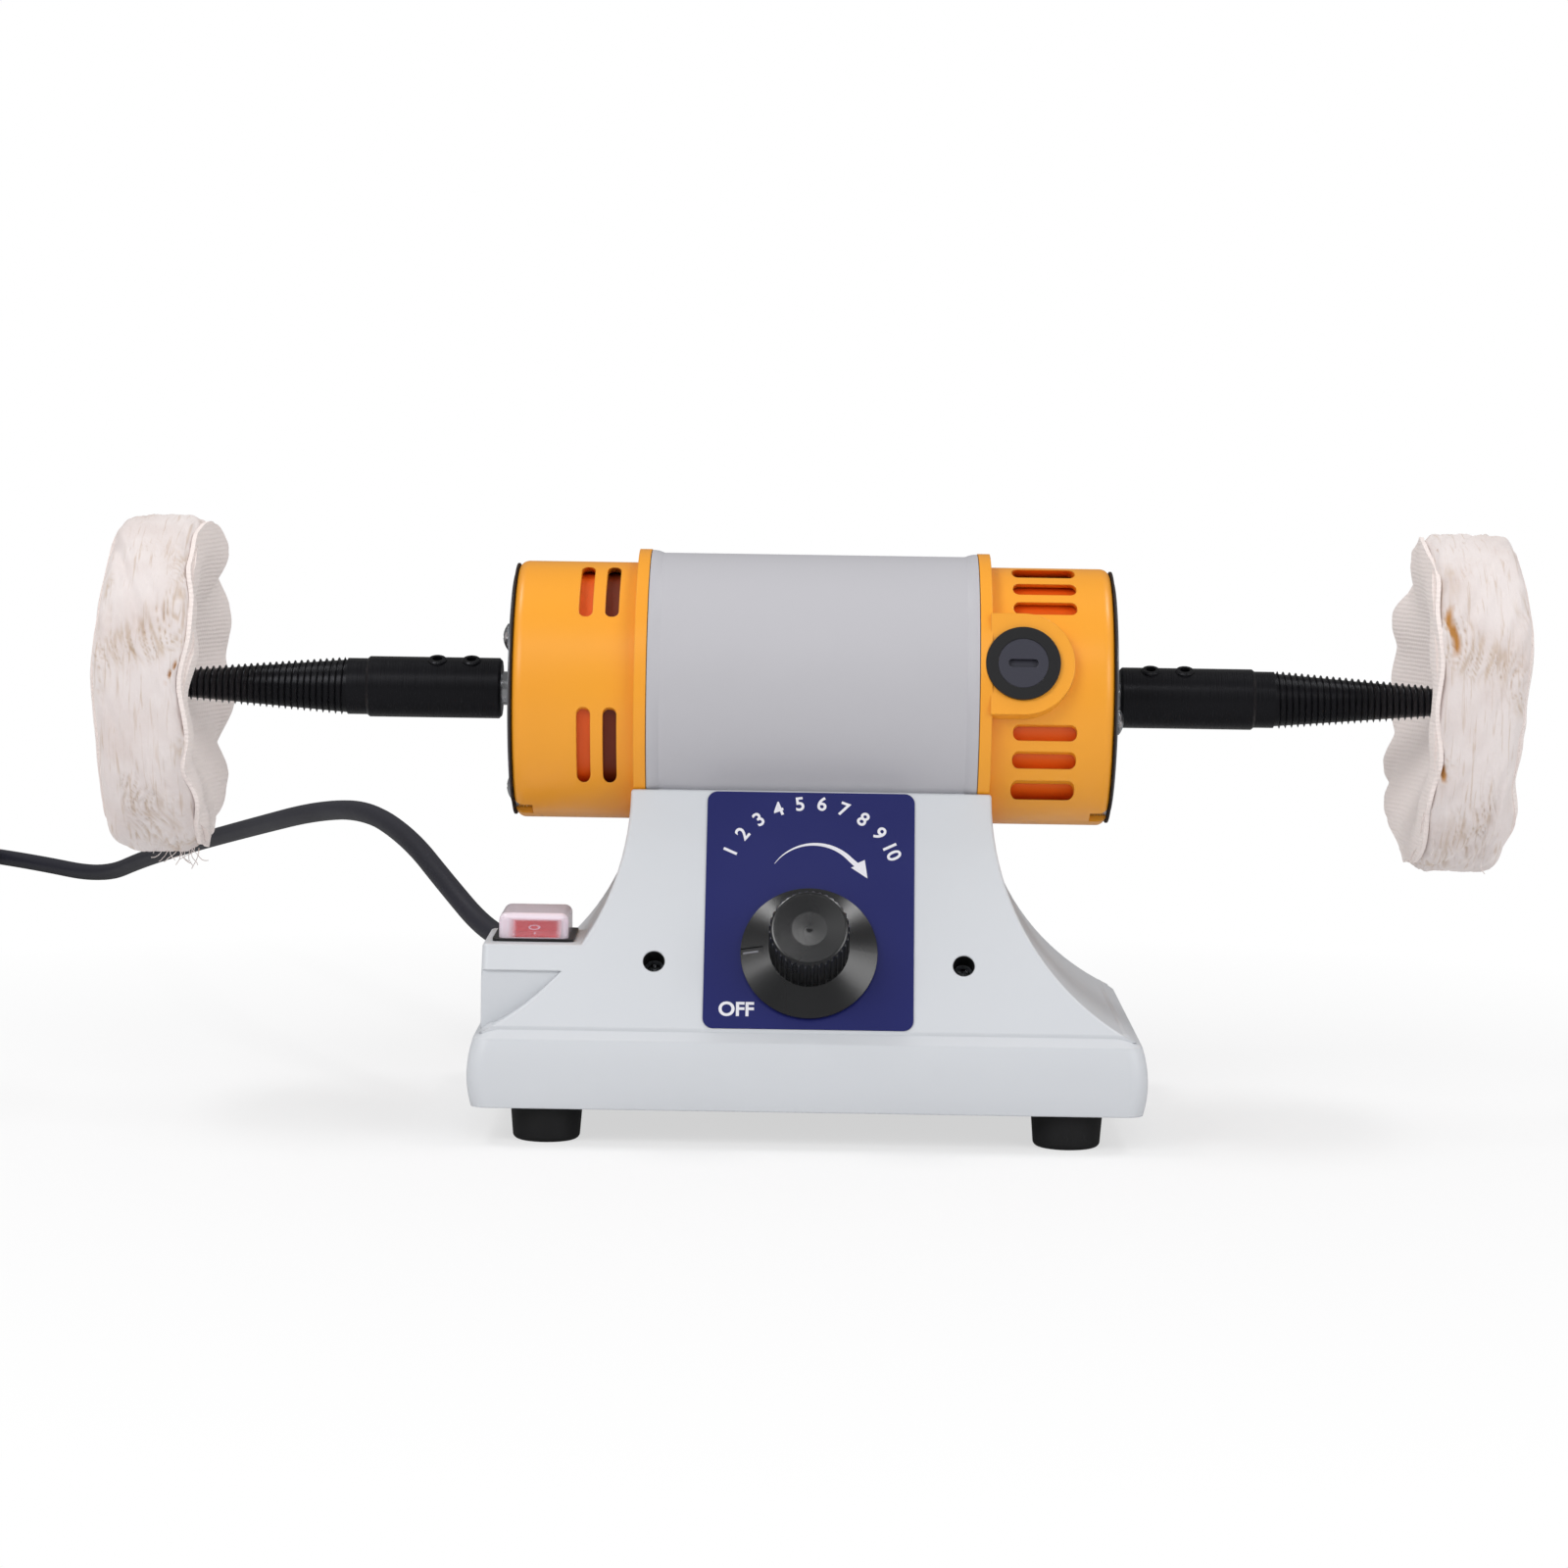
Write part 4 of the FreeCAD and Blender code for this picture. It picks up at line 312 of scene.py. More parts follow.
def moulded(name, colour, shade, roughness, grain=0.35, depth=0.03, edge=0.0, **sockets):
    """Injection-moulded plastic: a fine spark-eroded grain, cloudy gloss where hands rub it, soft edges.
    grain, depth and edge are in mm."""
    material, tree, shader, place = finish(name, colour, roughness, **sockets)
    cloud = add_node(tree, "TexNoise", {"Vector": place, "Scale": 18, "Detail": 4}).outputs["Fac"]
    mix = add_node(tree, "Mix", {"Factor": cloud, 6: linear(colour), 7: linear(shade)}, data_type="RGBA")
    tree.links.new(mix.outputs[2], shader.inputs["Base Color"])
    gloss = add_node(tree, "MapRange", {"Value": cloud, "From Min": 0.3, "From Max": 0.7,
                                        "To Min": roughness - 0.04, "To Max": roughness + 0.05})
    tree.links.new(gloss.outputs["Result"], shader.inputs["Roughness"])
    spark = add_node(tree, "TexNoise", {"Vector": place, "Scale": 1 / (grain * MM), "Detail": 2})
    bump = add_node(tree, "Bump", {"Height": spark.outputs["Fac"], "Strength": 0.35, "Distance": depth * MM})
    if edge:
        soft = add_node(tree, "Bevel", {"Radius": edge * MM}, samples=4)
        tree.links.new(soft.outputs["Normal"], bump.inputs["Normal"])
    tree.links.new(bump.outputs["Normal"], shader.inputs["Normal"])
    return material


def machined(name, colour, roughness, spacing=0.25, depth=0.01, metallic=1.0):
    """Metal turned about the X axis: fine tool rings, and a broken sheen. spacing and depth are in mm."""
    material, tree, shader, place = finish(name, colour, roughness, Metallic=metallic)
    streak = add_node(tree, "Mapping", {"Vector": place, "Scale": (1 / (spacing * MM), 60, 60)})
    rings = add_node(tree, "TexNoise", {"Vector": streak.outputs["Vector"], "Scale": 1, "Detail": 2})
    gloss = add_node(tree, "MapRange", {"Value": rings.outputs["Fac"], "From Min": 0.3, "From Max": 0.7,
                                        "To Min": roughness * 0.8, "To Max": roughness * 1.25})
    tree.links.new(gloss.outputs["Result"], shader.inputs["Roughness"])
    bump = add_node(tree, "Bump", {"Height": rings.outputs["Fac"], "Strength": 0.4, "Distance": depth * MM})
    tree.links.new(bump.outputs["Normal"], shader.inputs["Normal"])
    return material


grey_abs = moulded("moulded_grey_abs", "#D3D6DA", "#CDD0D5", 0.42, edge=0.7)
yellow_abs = moulded("moulded_amber_abs", "#F7A826", "#F29D1E", 0.38, edge=0.5,
                     Coat_Weight=0.25, Coat_Roughness=0.3)
# painted light: the amber stands for light glowing through the yellow caps, and the brown for shade inside
# them
amber_painted_glow = moulded("amber_painted_glow_wall", "#EE6A12", "#E35D0C", 0.5)
brown_painted_shade = moulded("brown_painted_shade_wall", "#7A2E0C", "#6A260A", 0.5)
sleeve_paint = moulded("enamelled_grey_sleeve", "#BDBCC1", "#B7B6BB", 0.5, grain=1.4, depth=0.02)
label_film = moulded("gloss_blue_film", "#1E2468", "#191E5A", 0.34, grain=2.5, depth=0.01,
                     Specular_IOR_Level=0.22)
black_phenolic = moulded("satin_black_phenolic", "#0D0E10", "#111215", 0.27, edge=0.3,
                         Coat_Weight=0.8, Coat_Roughness=0.22)
black_rubber = moulded("matt_black_rubber", "#0D0D0F", "#121214", 0.6, grain=0.5, depth=0.06)
switch_black = moulded("moulded_black_nylon", "#101012", "#151517", 0.4)
rocker_red = moulded("moulded_red_nylon", "#D94744", "#CF3F3C", 0.35, edge=0.4)
collar_black = moulded("moulded_charcoal_bakelite", "#17171A", "#131316", 0.4, edge=0.2)
cap_black = moulded("moulded_slate_bakelite", "#3B3B47", "#353540", 0.34, edge=0.3)
gasket_fibre = moulded("pressed_brown_fibre", "#241C1B", "#2E2421", 0.8, grain=0.6, depth=0.08)
lead_pvc = moulded("smooth_charcoal_pvc", "#2C2C37", "#262630", 0.46, grain=3, depth=0.01)
carbon = moulded("pressed_carbon", "#1D1D1F", "#29292B", 0.6)
board_green = moulded("green_circuit_laminate", "#1E5B35", "#1A4F2F", 0.3)
woven_tie = moulded("woven_black_tie", "#19191C", "#232327", 0.8, grain=0.7, depth=0.15)
leather = moulded("tanned_hub_leather", "#A9713C", "#8F5B2E", 0.6, grain=0.8, depth=0.12)
pointer_paint = moulded("worn_pointer_paint", "#8E8E96", "#6E6E76", 0.6)
blackened_steel = machined("blackened_turned_steel", "#1D1D21", 0.3, metallic=0.6)
bright_steel = machined("bright_ground_steel", "#C9CACD", 0.2)
zinc = machined("bright_zinc_plate", "#D3D6DA", 0.25, depth=0.004)
plate_metal = machined("milled_aluminium", "#A9ABAF", 0.36)
bottom_metal = machined("galvanised_sheet", "#B4B8BB", 0.42)
lamination = machined("stacked_electrical_steel", "#7F8287", 0.42, spacing=0.5, depth=0.06)
copper = machined("enamelled_copper_wire", "#B8623A", 0.3, spacing=0.6, depth=0.12)
brass = machined("drawn_brass", "#C9A559", 0.28)


def clear_plastic():
    """Soft clear lilac PVC over the switch: its window lets the red through, its thick sides are hazy, and
    above 61.2 mm its top is paler and less clear. Near its edges a painted highlight makes it pale and less
    clear."""
    middle, window, wall = -78.6, 5.6, 8.2    # along X, the last two as distances from the middle
    clear_below, hazy_above = 61.2, 62.4      # along Z
    material, tree, shader, place = finish("soft_clear_pvc", "#F4E9F2", 0.08, IOR=1.4)
    spot = add_node(tree, "SeparateXYZ", {"Vector": place})
    top = add_node(tree, "MapRange", {"Value": spot.outputs["Z"], "From Min": clear_below * MM,
                                      "From Max": hazy_above * MM})
    aside = add_node(tree, "Math", {0: spot.outputs["X"], 1: -middle * MM}, operation="ADD")
    aside = add_node(tree, "Math", {0: aside.outputs[0]}, operation="ABSOLUTE")
    aside = add_node(tree, "MapRange", {"Value": aside.outputs[0], "From Min": window * MM,
                                        "From Max": wall * MM, "To Max": 0.75})
    # painted highlight: where the rounded normal bends away near an edge, the cover turns pale and less clear
    rounded = add_node(tree, "Bevel", {"Radius": 0.7 * MM}, samples=6)
    flat = add_node(tree, "NewGeometry")
    bent = add_node(tree, "VectorMath", {0: rounded.outputs["Normal"], 1: flat.outputs["Normal"]},
                    operation="DOT_PRODUCT")
    edge = add_node(tree, "MapRange", {"Value": bent.outputs["Value"], "From Min": 0.98, "From Max": 0.86})
    haze_and_painted_highlight = add_node(tree, "Math", {0: top.outputs["Result"], 1: aside.outputs["Result"]}, operation="MAXIMUM")
    haze_and_painted_highlight = add_node(tree, "Math", {0: haze_and_painted_highlight.outputs[0], 1: edge.outputs["Result"]}, operation="MAXIMUM")
    clear = add_node(tree, "MapRange", {"Value": haze_and_painted_highlight.outputs[0], "To Min": 0.95, "To Max": 0.22})
    tree.links.new(clear.outputs["Result"], shader.inputs["Transmission Weight"])
    path = add_node(tree, "LightPath")
    shadow = add_node(tree, "MapRange", {"Value": path.outputs["Is Shadow Ray"], "To Min": 1, "To Max": 0.15})
    tree.links.new(shadow.outputs["Result"], shader.inputs["Alpha"])
    wave = add_node(tree, "TexNoise", {"Vector": place, "Scale": 160, "Detail": 1}).outputs["Fac"]
    bump = add_node(tree, "Bump", {"Height": wave, "Strength": 0.15, "Distance": 0.2 * MM})
    tree.links.new(bump.outputs["Normal"], shader.inputs["Normal"])
    return material


def printed_white():
    """Screen-printed white ink: a thin matt film with a slightly open grain."""
    material, tree, shader, place = finish("screen_printed_white", "#E9E8EE", 0.55)
    grain = add_node(tree, "TexNoise", {"Vector": place, "Scale": 4000, "Detail": 1}).outputs["Fac"]
    mix = add_node(tree, "Mix", {"Factor": grain, 6: linear("#EFEEF3"), 7: linear("#DEDDE6")},
                   data_type="RGBA")
    tree.links.new(mix.outputs[2], shader.inputs["Base Color"])
    return material


def cotton_cloth():
    """Unbleached muslin. On the faces its weave shows: threads 0.6 mm apart, drawn 1.3 mm apart so that
    they can be seen. On the rim the cut plies leave broken beige streaks, and nap."""
    threads, streak_width, streak_length = 1.3, 0.9, 13
    band = 0.314    # the scale at which a wave texture's bands are one unit apart
    material, tree, shader, place = finish("stitched_cotton_muslin", "#EFE8E3", 0.95,
                                           Sheen_Weight=0.3, Sheen_Roughness=0.5)
    shader.inputs["Sheen Tint"].default_value = linear("#FFF8F2")
    face, painted_crease_shade, painted_slit_shade = [add_node(tree, "Attribute", attribute_name=mark).outputs["Fac"]
                          for mark in ("face", "painted_crease_shade", "painted_slit_shade")]
    patch = add_node(tree, "TexNoise", {"Vector": place, "Scale": 60, "Detail": 5}).outputs["Fac"]
    stain = add_node(tree, "MapRange", {"Value": patch, "From Min": 0.42, "From Max": 0.78})
    drawn = add_node(tree, "Mapping", {"Vector": place, "Scale": (
        1 / (streak_width * MM), 1 / (streak_length * MM), 1 / (streak_length * MM))})
    streaks = add_node(tree, "TexNoise", {"Vector": drawn.outputs["Vector"], "Scale": 1, "Detail": 3,
                                          "Distortion": 0.6}).outputs["Fac"]
    broken = add_node(tree, "MapRange", {"Value": streaks, "From Min": 0.57, "From Max": 0.7, "To Max": 0.75})
    mixed = linear("#E3DAD8")
    # painted shade: #BFA78F darkens the rim's ridges and rough patches, and #BC8544 darkens the open slits to
    # tan
    for share, colour in ((stain.outputs["Result"], "#D8CBC7"), (broken.outputs["Result"], "#C9B6A8"),
                          (face, "#EEE3DF"), (painted_crease_shade, "#BFA78F"), (painted_slit_shade, "#BC8544")):
        mix = add_node(tree, "Mix", {"Factor": share, 6: mixed, 7: linear(colour)}, data_type="RGBA")
        mixed = mix.outputs[2]
    tree.links.new(mixed, shader.inputs["Base Color"])
    wave = {"Vector": place, "Scale": band / (threads * MM), "Distortion": 1.2, "Detail": 1}
    rows = [add_node(tree, "TexWave", wave, bands_direction=way).outputs["Fac"] for way in ("Y", "Z")]
    weave = add_node(tree, "Math", {0: rows[0], 1: 0.3}, operation="MULTIPLY").outputs["Value"]
    weave = add_node(tree, "Math", {0: weave, 1: rows[1]}, operation="ADD").outputs["Value"]
    nap = add_node(tree, "Math", {0: streaks, 1: 1.6}, operation="MULTIPLY").outputs["Value"]
    height = add_node(tree, "Mix", {"Factor": face, 2: nap, 3: weave}).outputs[0]
    fluff = add_node(tree, "TexNoise", {"Vector": place, "Scale": 900, "Detail": 3}).outputs["Fac"]
    height = add_node(tree, "Math", {0: height, 1: fluff}, operation="ADD").outputs["Value"]
    bump = add_node(tree, "Bump", {"Height": height, "Strength": 0.55, "Distance": 0.22 * MM})
    tree.links.new(bump.outputs["Normal"], shader.inputs["Normal"])
    return material


clear_pvc, white_ink, muslin = clear_plastic(), printed_white(), cotton_cloth()

dress(grey_abs, "base_housing")
dress(yellow_abs, "left_end_cap", "right_end_cap")
dress(sleeve_paint, "motor_sleeve")
dress(label_film, "dial_label")
dress(black_phenolic, "speed_knob", "cooling_fan")
dress(black_rubber, "rubber_feet")
dress(switch_black, "switch_body")
dress(rocker_red, "switch_rocker")
dress(clear_pvc, "splash_cover")
dress(collar_black, "brush_collars")
dress(cap_black, "brush_caps")
dress(gasket_fibre, "left_gasket", "right_gasket")
dress(lead_pvc, lead)
dress(carbon, "carbon_brushes")
dress(board_green, "control_board")
dress(blackened_steel, "left_spindle", "right_spindle", "spindle_set_screws")
dress(bright_steel, "rotor_shaft", "control_shaft", "bearing_balls", "bearing_inner_rings",
      "bearing_outer_rings", "brush_springs")
dress(zinc, "motor_bolts")
dress(plate_metal, "left_end_plate", "right_end_plate", "bearing_brackets", "speed_control", "board_parts")
dress(bottom_metal, "bottom_plate", "board_bracket")
dress(lamination, "stator_core", "armature_core")
dress(copper, "armature_windings", "field_coils", "commutator")
dress(brass, "bushing_nut", "switch_tabs", "plug_pins", "brush_holders", "board_spacers")


# ---------------------------------------------------------------- the cotton buffs
# A place on a buff is t mm from its middle towards the motor, out mm from the axis, and at an angle up
# from the front. side is -1 for the left buff and 1 for the right one.

RIM, RIM_HALF, HUB = 50, 9, 7    # the rim's radius, half of its flat width, and where loose plies start
WASHER = ((5.5, 5.2), (5.5, 9.6), (5.9, 10.2), (6.4, 10.0), (6.7, 9.2), (6.7, 5.4))    # (along, radius)


def through(*points):
    """A smooth closed wave round the rim through points (degrees up from the front, mm)."""
    ring = [(points[-1][0] - 360, points[-1][1]), *points, (points[0][0] + 360, points[0][1])]

    def wave(angle):
        turned = math.degrees(angle) % 360
        for (start, low), (stop, high) in zip(ring, ring[1:]):
            if turned <= stop:
                return low + (high - low) * between(start, stop, turned)
    return wave


# How far the rim's inner plies, and its outer ones, are folded towards the motor.
FOLDS = {
    -1: (through((3, -0.8), (21, 2.2), (33, 1.6), (50, 0.0), (75, 0.4), (100, 1.4), (122, 3.2), (135, -1.8),
                 (157, 0.8), (174, -1.6), (189, 2.2), (211, -3.0), (229, 1.7), (250, -0.6), (276, 1.2),
                 (302, 1.4), (318, 3.0), (332, 0.0), (346, 1.9)),
         through((13, 0.1), (34, 1.3), (60, 2.2), (95, 1.8), (140, 0.2), (180, 1.4), (225, 0.2), (270, 1.4),
                 (308, 1.4), (340, 1.7))),
    1: (through((0, 0.9), (14, -0.2), (32, 0.6), (52, -0.6), (80, 0.8), (108, -0.4), (130, -3.6), (152, 0.7),
                (163, -0.6), (177, 1.2), (198, -0.4), (211, 3.6), (219, 1.6), (232, 3.6), (250, 1.4),
                (272, 2.6), (300, 0.6), (322, 2.0), (342, -0.2)),
        through((0, 2.0), (33, -0.7), (62, 0.4), (95, -0.4), (140, 1.4), (180, 0.3), (225, 2.0), (270, 1.8),
                (300, 3.2), (316, 1.9), (335, 4.2), (352, 3.0)))}
# Open slits in the rim: degrees up from the front, t, length and half of the width.
SLITS = {-1: ((8, 10.6, 9, 0.3),), 1: ((29, 9.2, 18, 1.3), (-21, 11.6, 6, 0.9))}
# Where threads hang out: degrees up from the front, and t.
FRAYED = {-1: ((-74, 3), (-76, 9), (-78, 5), (-80, 7), (-81, 11), (-82, 4), (-84, 8), (-85, 10), (-87, 6),
               (-88, 12), (-90, 9), (-71, 1), (-92, 7), (-77, 12)),
          1: ((70, 11), (-50, 12), (-60, -4))}


def ruffle(seed, low, high):
    """A closed wave round the rim, of low to high unequal folds, about as high as 1 either way."""
    chance = random.Random(seed)
    parts = [(count, chance.uniform(0.25, 1) / (1 + abs(count - 9) * 0.16), chance.uniform(0, math.tau))
             for count in range(low, high + 1)]
    scale = 1.3 * math.sqrt(sum(size * size for _, size, _ in parts) / 2)
    return lambda angle: sum(size * math.sin(count * angle + start) for count, size, start in parts) / scale


def half_width(out):
    """Half of the stack's width in mm at a radius: pinched at the hub, and fanned out at the rim."""
    return 5.7 + 7.3 * between(12, 42, out)


def stack_outline():
    """The cross-section of the pressed plies, (along, radius): a face, a rounded rim and the other face."""
    faces = [(half_width(out), out) for out in [4.7 + 2.1 * step for step in range(20)]]
    turns = [math.radians(10 * step) for step in range(1, 9)]
    corner = [(RIM_HALF + 4 * math.cos(turn), 45.6 + 4.4 * math.sin(turn)) for turn in turns]
    flat = [(RIM_HALF - 2 * RIM_HALF * step / 40, RIM) for step in range(1, 20)]
    right = faces + corner + flat
    return right + [(0, RIM)] + [(-x, out) for x, out in reversed(right)]


def face_folds(side):
    """How far the plies at a place are folded towards the motor: most at the rim, less inwards."""
    inner, outer = FOLDS[side]

    def fold(t, out, angle):
        near, far = between(-3, 12, t), between(-1, 12, -t)
        rise = between(18, 49, out) ** 1.3
        turned = angle + 0.006 * (RIM - out)
        return rise * (near * inner(turned) + far * outer(turned))
    return fold


def opened(side, t, angle):
    """How open a slit is at a place on the rim, from 0 to 1; slits bow a little."""
    gap = 0
    for turned, level, length, half in SLITS[side]:
        turn = angle - math.radians(turned)
        across = (t - level - 0.7 * math.sin(turn * 18)) / half
        along = 2 * RIM * turn / length
        if abs(across) < 1 and abs(along) < 1:
            gap = max(gap, (1 - across ** 2) * (1 - along ** 2))
    return gap


def pressed_plies(name, side, fold):
    """The bulk of the buff: the plies' cut edges make one soft rim with streaks, ridges and open slits."""
    made = lathe(name, stack_outline(), steps=470)
    mesh = made.data
    marks = {key: mesh.attributes.new(key, "FLOAT", "POINT") for key in ("face", "painted_crease_shade", "painted_slit_shade")}
    edge = ruffle(70 + side, 2, 13)
    for vertex in mesh.vertices:
        x, y, z = vertex.co / MM
        out, angle, t = math.hypot(y, z), math.atan2(z, -y), -side * x
        rim = between(43.5, 48.5, out)
        # lanes of cut edges wander round the rim, and wiry fibres stand up in its rough patches
        wander = 1.6 * edge(angle) + 1.1 * noise.noise(Vector((7, y / 9, z / 9)))
        lane = noise.noise(Vector(((t + wander) / 1.25, y / 17, z / 17)))
        wiry = noise.noise(Vector(((t + 2 * wander) / 0.85, y / 4.2, z / 4.2 + 30)))
        rough = between(-0.12, 0.42, noise.noise(Vector((t / 15, y / 21 + 9, z / 21))))
        ridge = max(0, 1 - abs(lane) * 5) * (0.35 + 0.65 * rough)
        pressed = 0.45 * ridge + rough * 0.5 * (wiry + 0.3)
        gap = opened(side, t, angle)
        soft = 0.5 * edge(2 * angle + 0.1 * t) + 0.35 * noise.noise(Vector((t / 6, y / 12, z / 12)))
        worn = 0.7 * between(6, 13, abs(t)) * (1 + edge(angle + 2))
        scale = 1 - rim * (pressed + 1.5 * gap - 0.6 * soft + worn) / out
        shift = fold(t, out, angle) + (1 - rim) * between(12, 30, out) * 0.25 * lane
        vertex.co = Vector((x - side * shift, y * scale, z * scale)) * MM
        # painted shade marks: darker in the rim's ridges and rough patches, and tan in the open slits
        painted_crease_amount = rim * rough * (0.75 * ridge + 0.4 * max(0, wiry))
        for key, value in (("face", 1 - rim), ("painted_crease_shade", painted_crease_amount), ("painted_slit_shade", 1.6 * gap)):
            marks[key].data[vertex.index].value = min(1, value)
    return made


def loose_ply(side, facing, fold, lift, reach, seed):
    """One outer ply of cloth that has come away from the stack at the rim and ruffles by itself."""
    rings, thickness = 18, 1.3
    bpy.ops.mesh.primitive_circle_add(vertices=300, radius=HUB * MM, fill_type="NOTHING",
                                      rotation=(0, math.pi / 2, 0))
    made = settle(named("ply"))
    editing(made, "SELECT")
    radius = HUB
    for ring in range(1, rings + 1):
        wider = HUB + (reach - HUB) * (ring / rings) ** 0.9
        bpy.ops.mesh.extrude_edges_move()
        bpy.ops.transform.resize(value=(1, wider / radius, wider / radius), center_override=(0, 0, 0))
        radius = wider
    done()
    own, ragged = ruffle(seed, 3, 12), ruffle(seed + 1, 3, 24)
    for vertex in made.data.vertices:
        y, z = vertex.co.y / MM, vertex.co.z / MM
        out, angle = math.hypot(y, z), math.atan2(z, -y)
        rise = between(20, RIM, out) ** 1.5
        t = facing * (half_width(min(out, 46)) + 0.5 - 0.9 * between(reach - 5, reach, out))
        t += fold(t, out, angle) + facing * rise * lift * (1 + own(angle + 0.01 * out))
        scale = 1 + rise * (0.012 * ragged(angle) - 0.006)
        vertex.co = Vector((-side * t, y * scale, z * scale)) * MM
    for mark in made.data.attributes.new("face", "FLOAT", "POINT").data:
        mark.value = 1
    return applied(made, "SOLIDIFY", thickness=thickness * MM, offset=0)


def loose_threads(side, seed):
    """Frayed threads that hang out of the rim, each a thin tube on a wandering line."""
    chance, made = random.Random(seed), []
    root, thickness = RIM - 1, 0.26
    for turned, t in FRAYED[side]:
        angle = math.radians(turned)
        heading = Vector((chance.uniform(-0.5, 0.5), chance.uniform(-0.2, 0.5), -1)).normalized()
        here = Vector((-side * t, -root * math.cos(angle), root * math.sin(angle)))
        curve = bpy.data.curves.new("thread", "CURVE")
        curve.dimensions, curve.bevel_depth, curve.bevel_resolution = "3D", thickness / 2 * MM, 1
        curve.use_fill_caps = True
        spline = curve.splines.new("NURBS")
        spline.points.add(5)
        for knot in spline.points:
            knot.co = (*(here * MM), 1)
            heading = (heading + Vector([chance.uniform(-0.9, 0.9) for _ in range(3)]) * 0.7).normalized()
            here += heading * chance.uniform(0.8, 1.7)
        spline.order_u, spline.use_endpoint_u, spline.resolution_u = 3, True, 3
        item = bpy.data.objects.new("thread", curve)
        bpy.context.scene.collection.objects.link(item)
        only(item)
        bpy.ops.object.convert(target="MESH")
        made.append(bpy.context.object)
    return made


def buff(name, side, node):
    """Plies of muslin stitched at the hub, with three loose ones, frayed threads and leather washers."""
    low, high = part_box(node)
    place = Vector(((low.x + high.x) / 2 / MM, 0, 0)) + AXIS
    fold = face_folds(side)
    cloth = [pressed_plies(name, side, fold)]
    for facing, lift, reach, seed in ((1, 0.35, 48.4, 200), (1, 0.8, 46.6, 300), (-1, 0.2, 45.5, 400)):
        cloth.append(loose_ply(side, facing, fold, lift, reach, seed + side))
    made = joined(name, cloth + loose_threads(side, 8 + side))
    made.location = place * MM
    carried(settle(smooth(made, 60)), muslin, "rotor", "cotton", node)
    washers = [stood(lathe("washer", WASHER, 72), place, pointing((facing, 0, 0))) for facing in (-1, 1)]
    washers = smooth(joined(name.replace("cotton_buff", "hub_washers"), washers))
    carried(washers, leather, "rotor", "cotton")


buff("left_cotton_buff", -1, "left_buff_wheel")
buff("right_cotton_buff", 1, "right_buff_wheel")


# ---------------------------------------------------------------- the screw threads of the spindles

def screw_thread(name, side, start):
    """The pigtail screw: one sharp helical ridge that winds down the tapering end."""
    pitch, turns = 1.87, 34
    root, tip, length = 7.85, 2.6, 65.0    # the two radii of the taper, and how far apart they are
    slope = (root - tip) / length
    ridge = ((0, -0.35), (0.62, 0.1), (0.93, 0.85), (1.24, 0.1))    # (along, above the root)
    made = outlined(name, [(along, 0, root + out) for along, out in ridge], "NGON")
    applied(made, "SCREW", axis="X", angle=math.tau, screw_offset=pitch * MM, iterations=turns, steps=30,
            render_steps=30, use_merge_vertices=False)
    for vertex in made.data.vertices:
        out = math.hypot(vertex.co.y, vertex.co.z)
        nearer = (out - slope * vertex.co.x) / out
        vertex.co = (side * (start * MM + vertex.co.x), vertex.co.y * nearer, vertex.co.z * nearer)
    outward(made)
    made.location = AXIS * MM
    carried(smooth(settle(made), 20), blackened_steel, "rotor", "blackened_steel")


screw_thread("left_screw_thread", -1, 138.1)
screw_thread("right_screw_thread", 1, 136.8)


# ---------------------------------------------------------------- screws with a cross in the head

HOLE_X, FOOT_X, FOOT_Y = 44.3, 74.5, 53    # how far the holes and feet are from the middle of the base


def cross_headed(name, node, heads, size):
    """The node's screws again, each with a tapered cross pressed into its head. A head is its top's place
    in mm, and the way it faces; size is the cross's width, its arms' thickness and its depth."""
    made = nodes[node].copy()
    made.data = nodes[node].data.copy()
    bpy.context.scene.collection.objects.link(made)
    made.name = made.data.name = name
    outward(made)
    width, thickness, depth = size
    for quarter in (0, 90):
        arms = []
        for place, way in heads:
            arm = bar("arm", (2 * depth, width, thickness))
            for vertex in editing(arm).verts:
                vertex.select = vertex.co.x < 0
            bpy.ops.transform.resize(value=(1, 0.45, 0.6), center_override=(0, 0, 0))
            done()
            spin = Matrix.Rotation(math.radians(quarter + 23 + 31 * place[0]), 4, "X")
            arms.append(stood(arm, place, pointing(way) @ spin))
        cutter = joined("arms", arms)
        applied(made, "BOOLEAN", object=cutter, operation="DIFFERENCE", solver="EXACT")
        bpy.data.objects.remove(cutter)
    carried(smooth(made, 30), zinc, "base", "zinc_screws", node)


def end_plate_heads():
    """The tops of three screws in each end plate, a third of a turn apart, and the ways they face."""
    ring, face = 29, 90.5
    heads = []
    for side, first in ((-1, 35), (1, -10)):
        for turned in (first, first + 120, first + 240):
            turn = math.radians(turned)
            place = AXIS + Vector((face * side, -ring * math.cos(turn), ring * math.sin(turn)))
            heads.append((place, (side, 0, 0)))
    return heads


def screw_hole_liners():
    """Black sleeves that line the two sunk holes of the sloping front, a painted shade that darkens them."""
    liners = []
    for side in (-1, 1):
        liner = lathe("liner", [(0, 2.92), (7.3, 2.92), (7.3, 3.14), (0, 3.14)], 40)
        bottom = Vector((HOLE_X * side, -48.05, 51.4)) - PANEL_OUT * 7.7
        liners.append(stood(liner, bottom, pointing(PANEL_OUT)))
    carried(smooth(joined("screw_hole_liners", liners)), black_rubber, "base", "black_rubber")


cross_headed("panel_cross_screws", "panel_screws",
             [((HOLE_X * side, -41.33, 48.08), PANEL_OUT) for side in (-1, 1)], (4.2, 1.1, 1.5))
cross_headed("foot_cross_screws", "foot_screws",
             [((FOOT_X * side, 5.2 + reach, 3.0), (0, 0, -1))
              for side in (-1, 1) for reach in (-FOOT_Y, FOOT_Y)], (4.4, 1.1, 1.6))
cross_headed("end_plate_cross_screws", "end_plate_screws", end_plate_heads(), (4.4, 1.0, 1.5))
screw_hole_liners()


# ---------------------------------------------------------------- inside the end caps

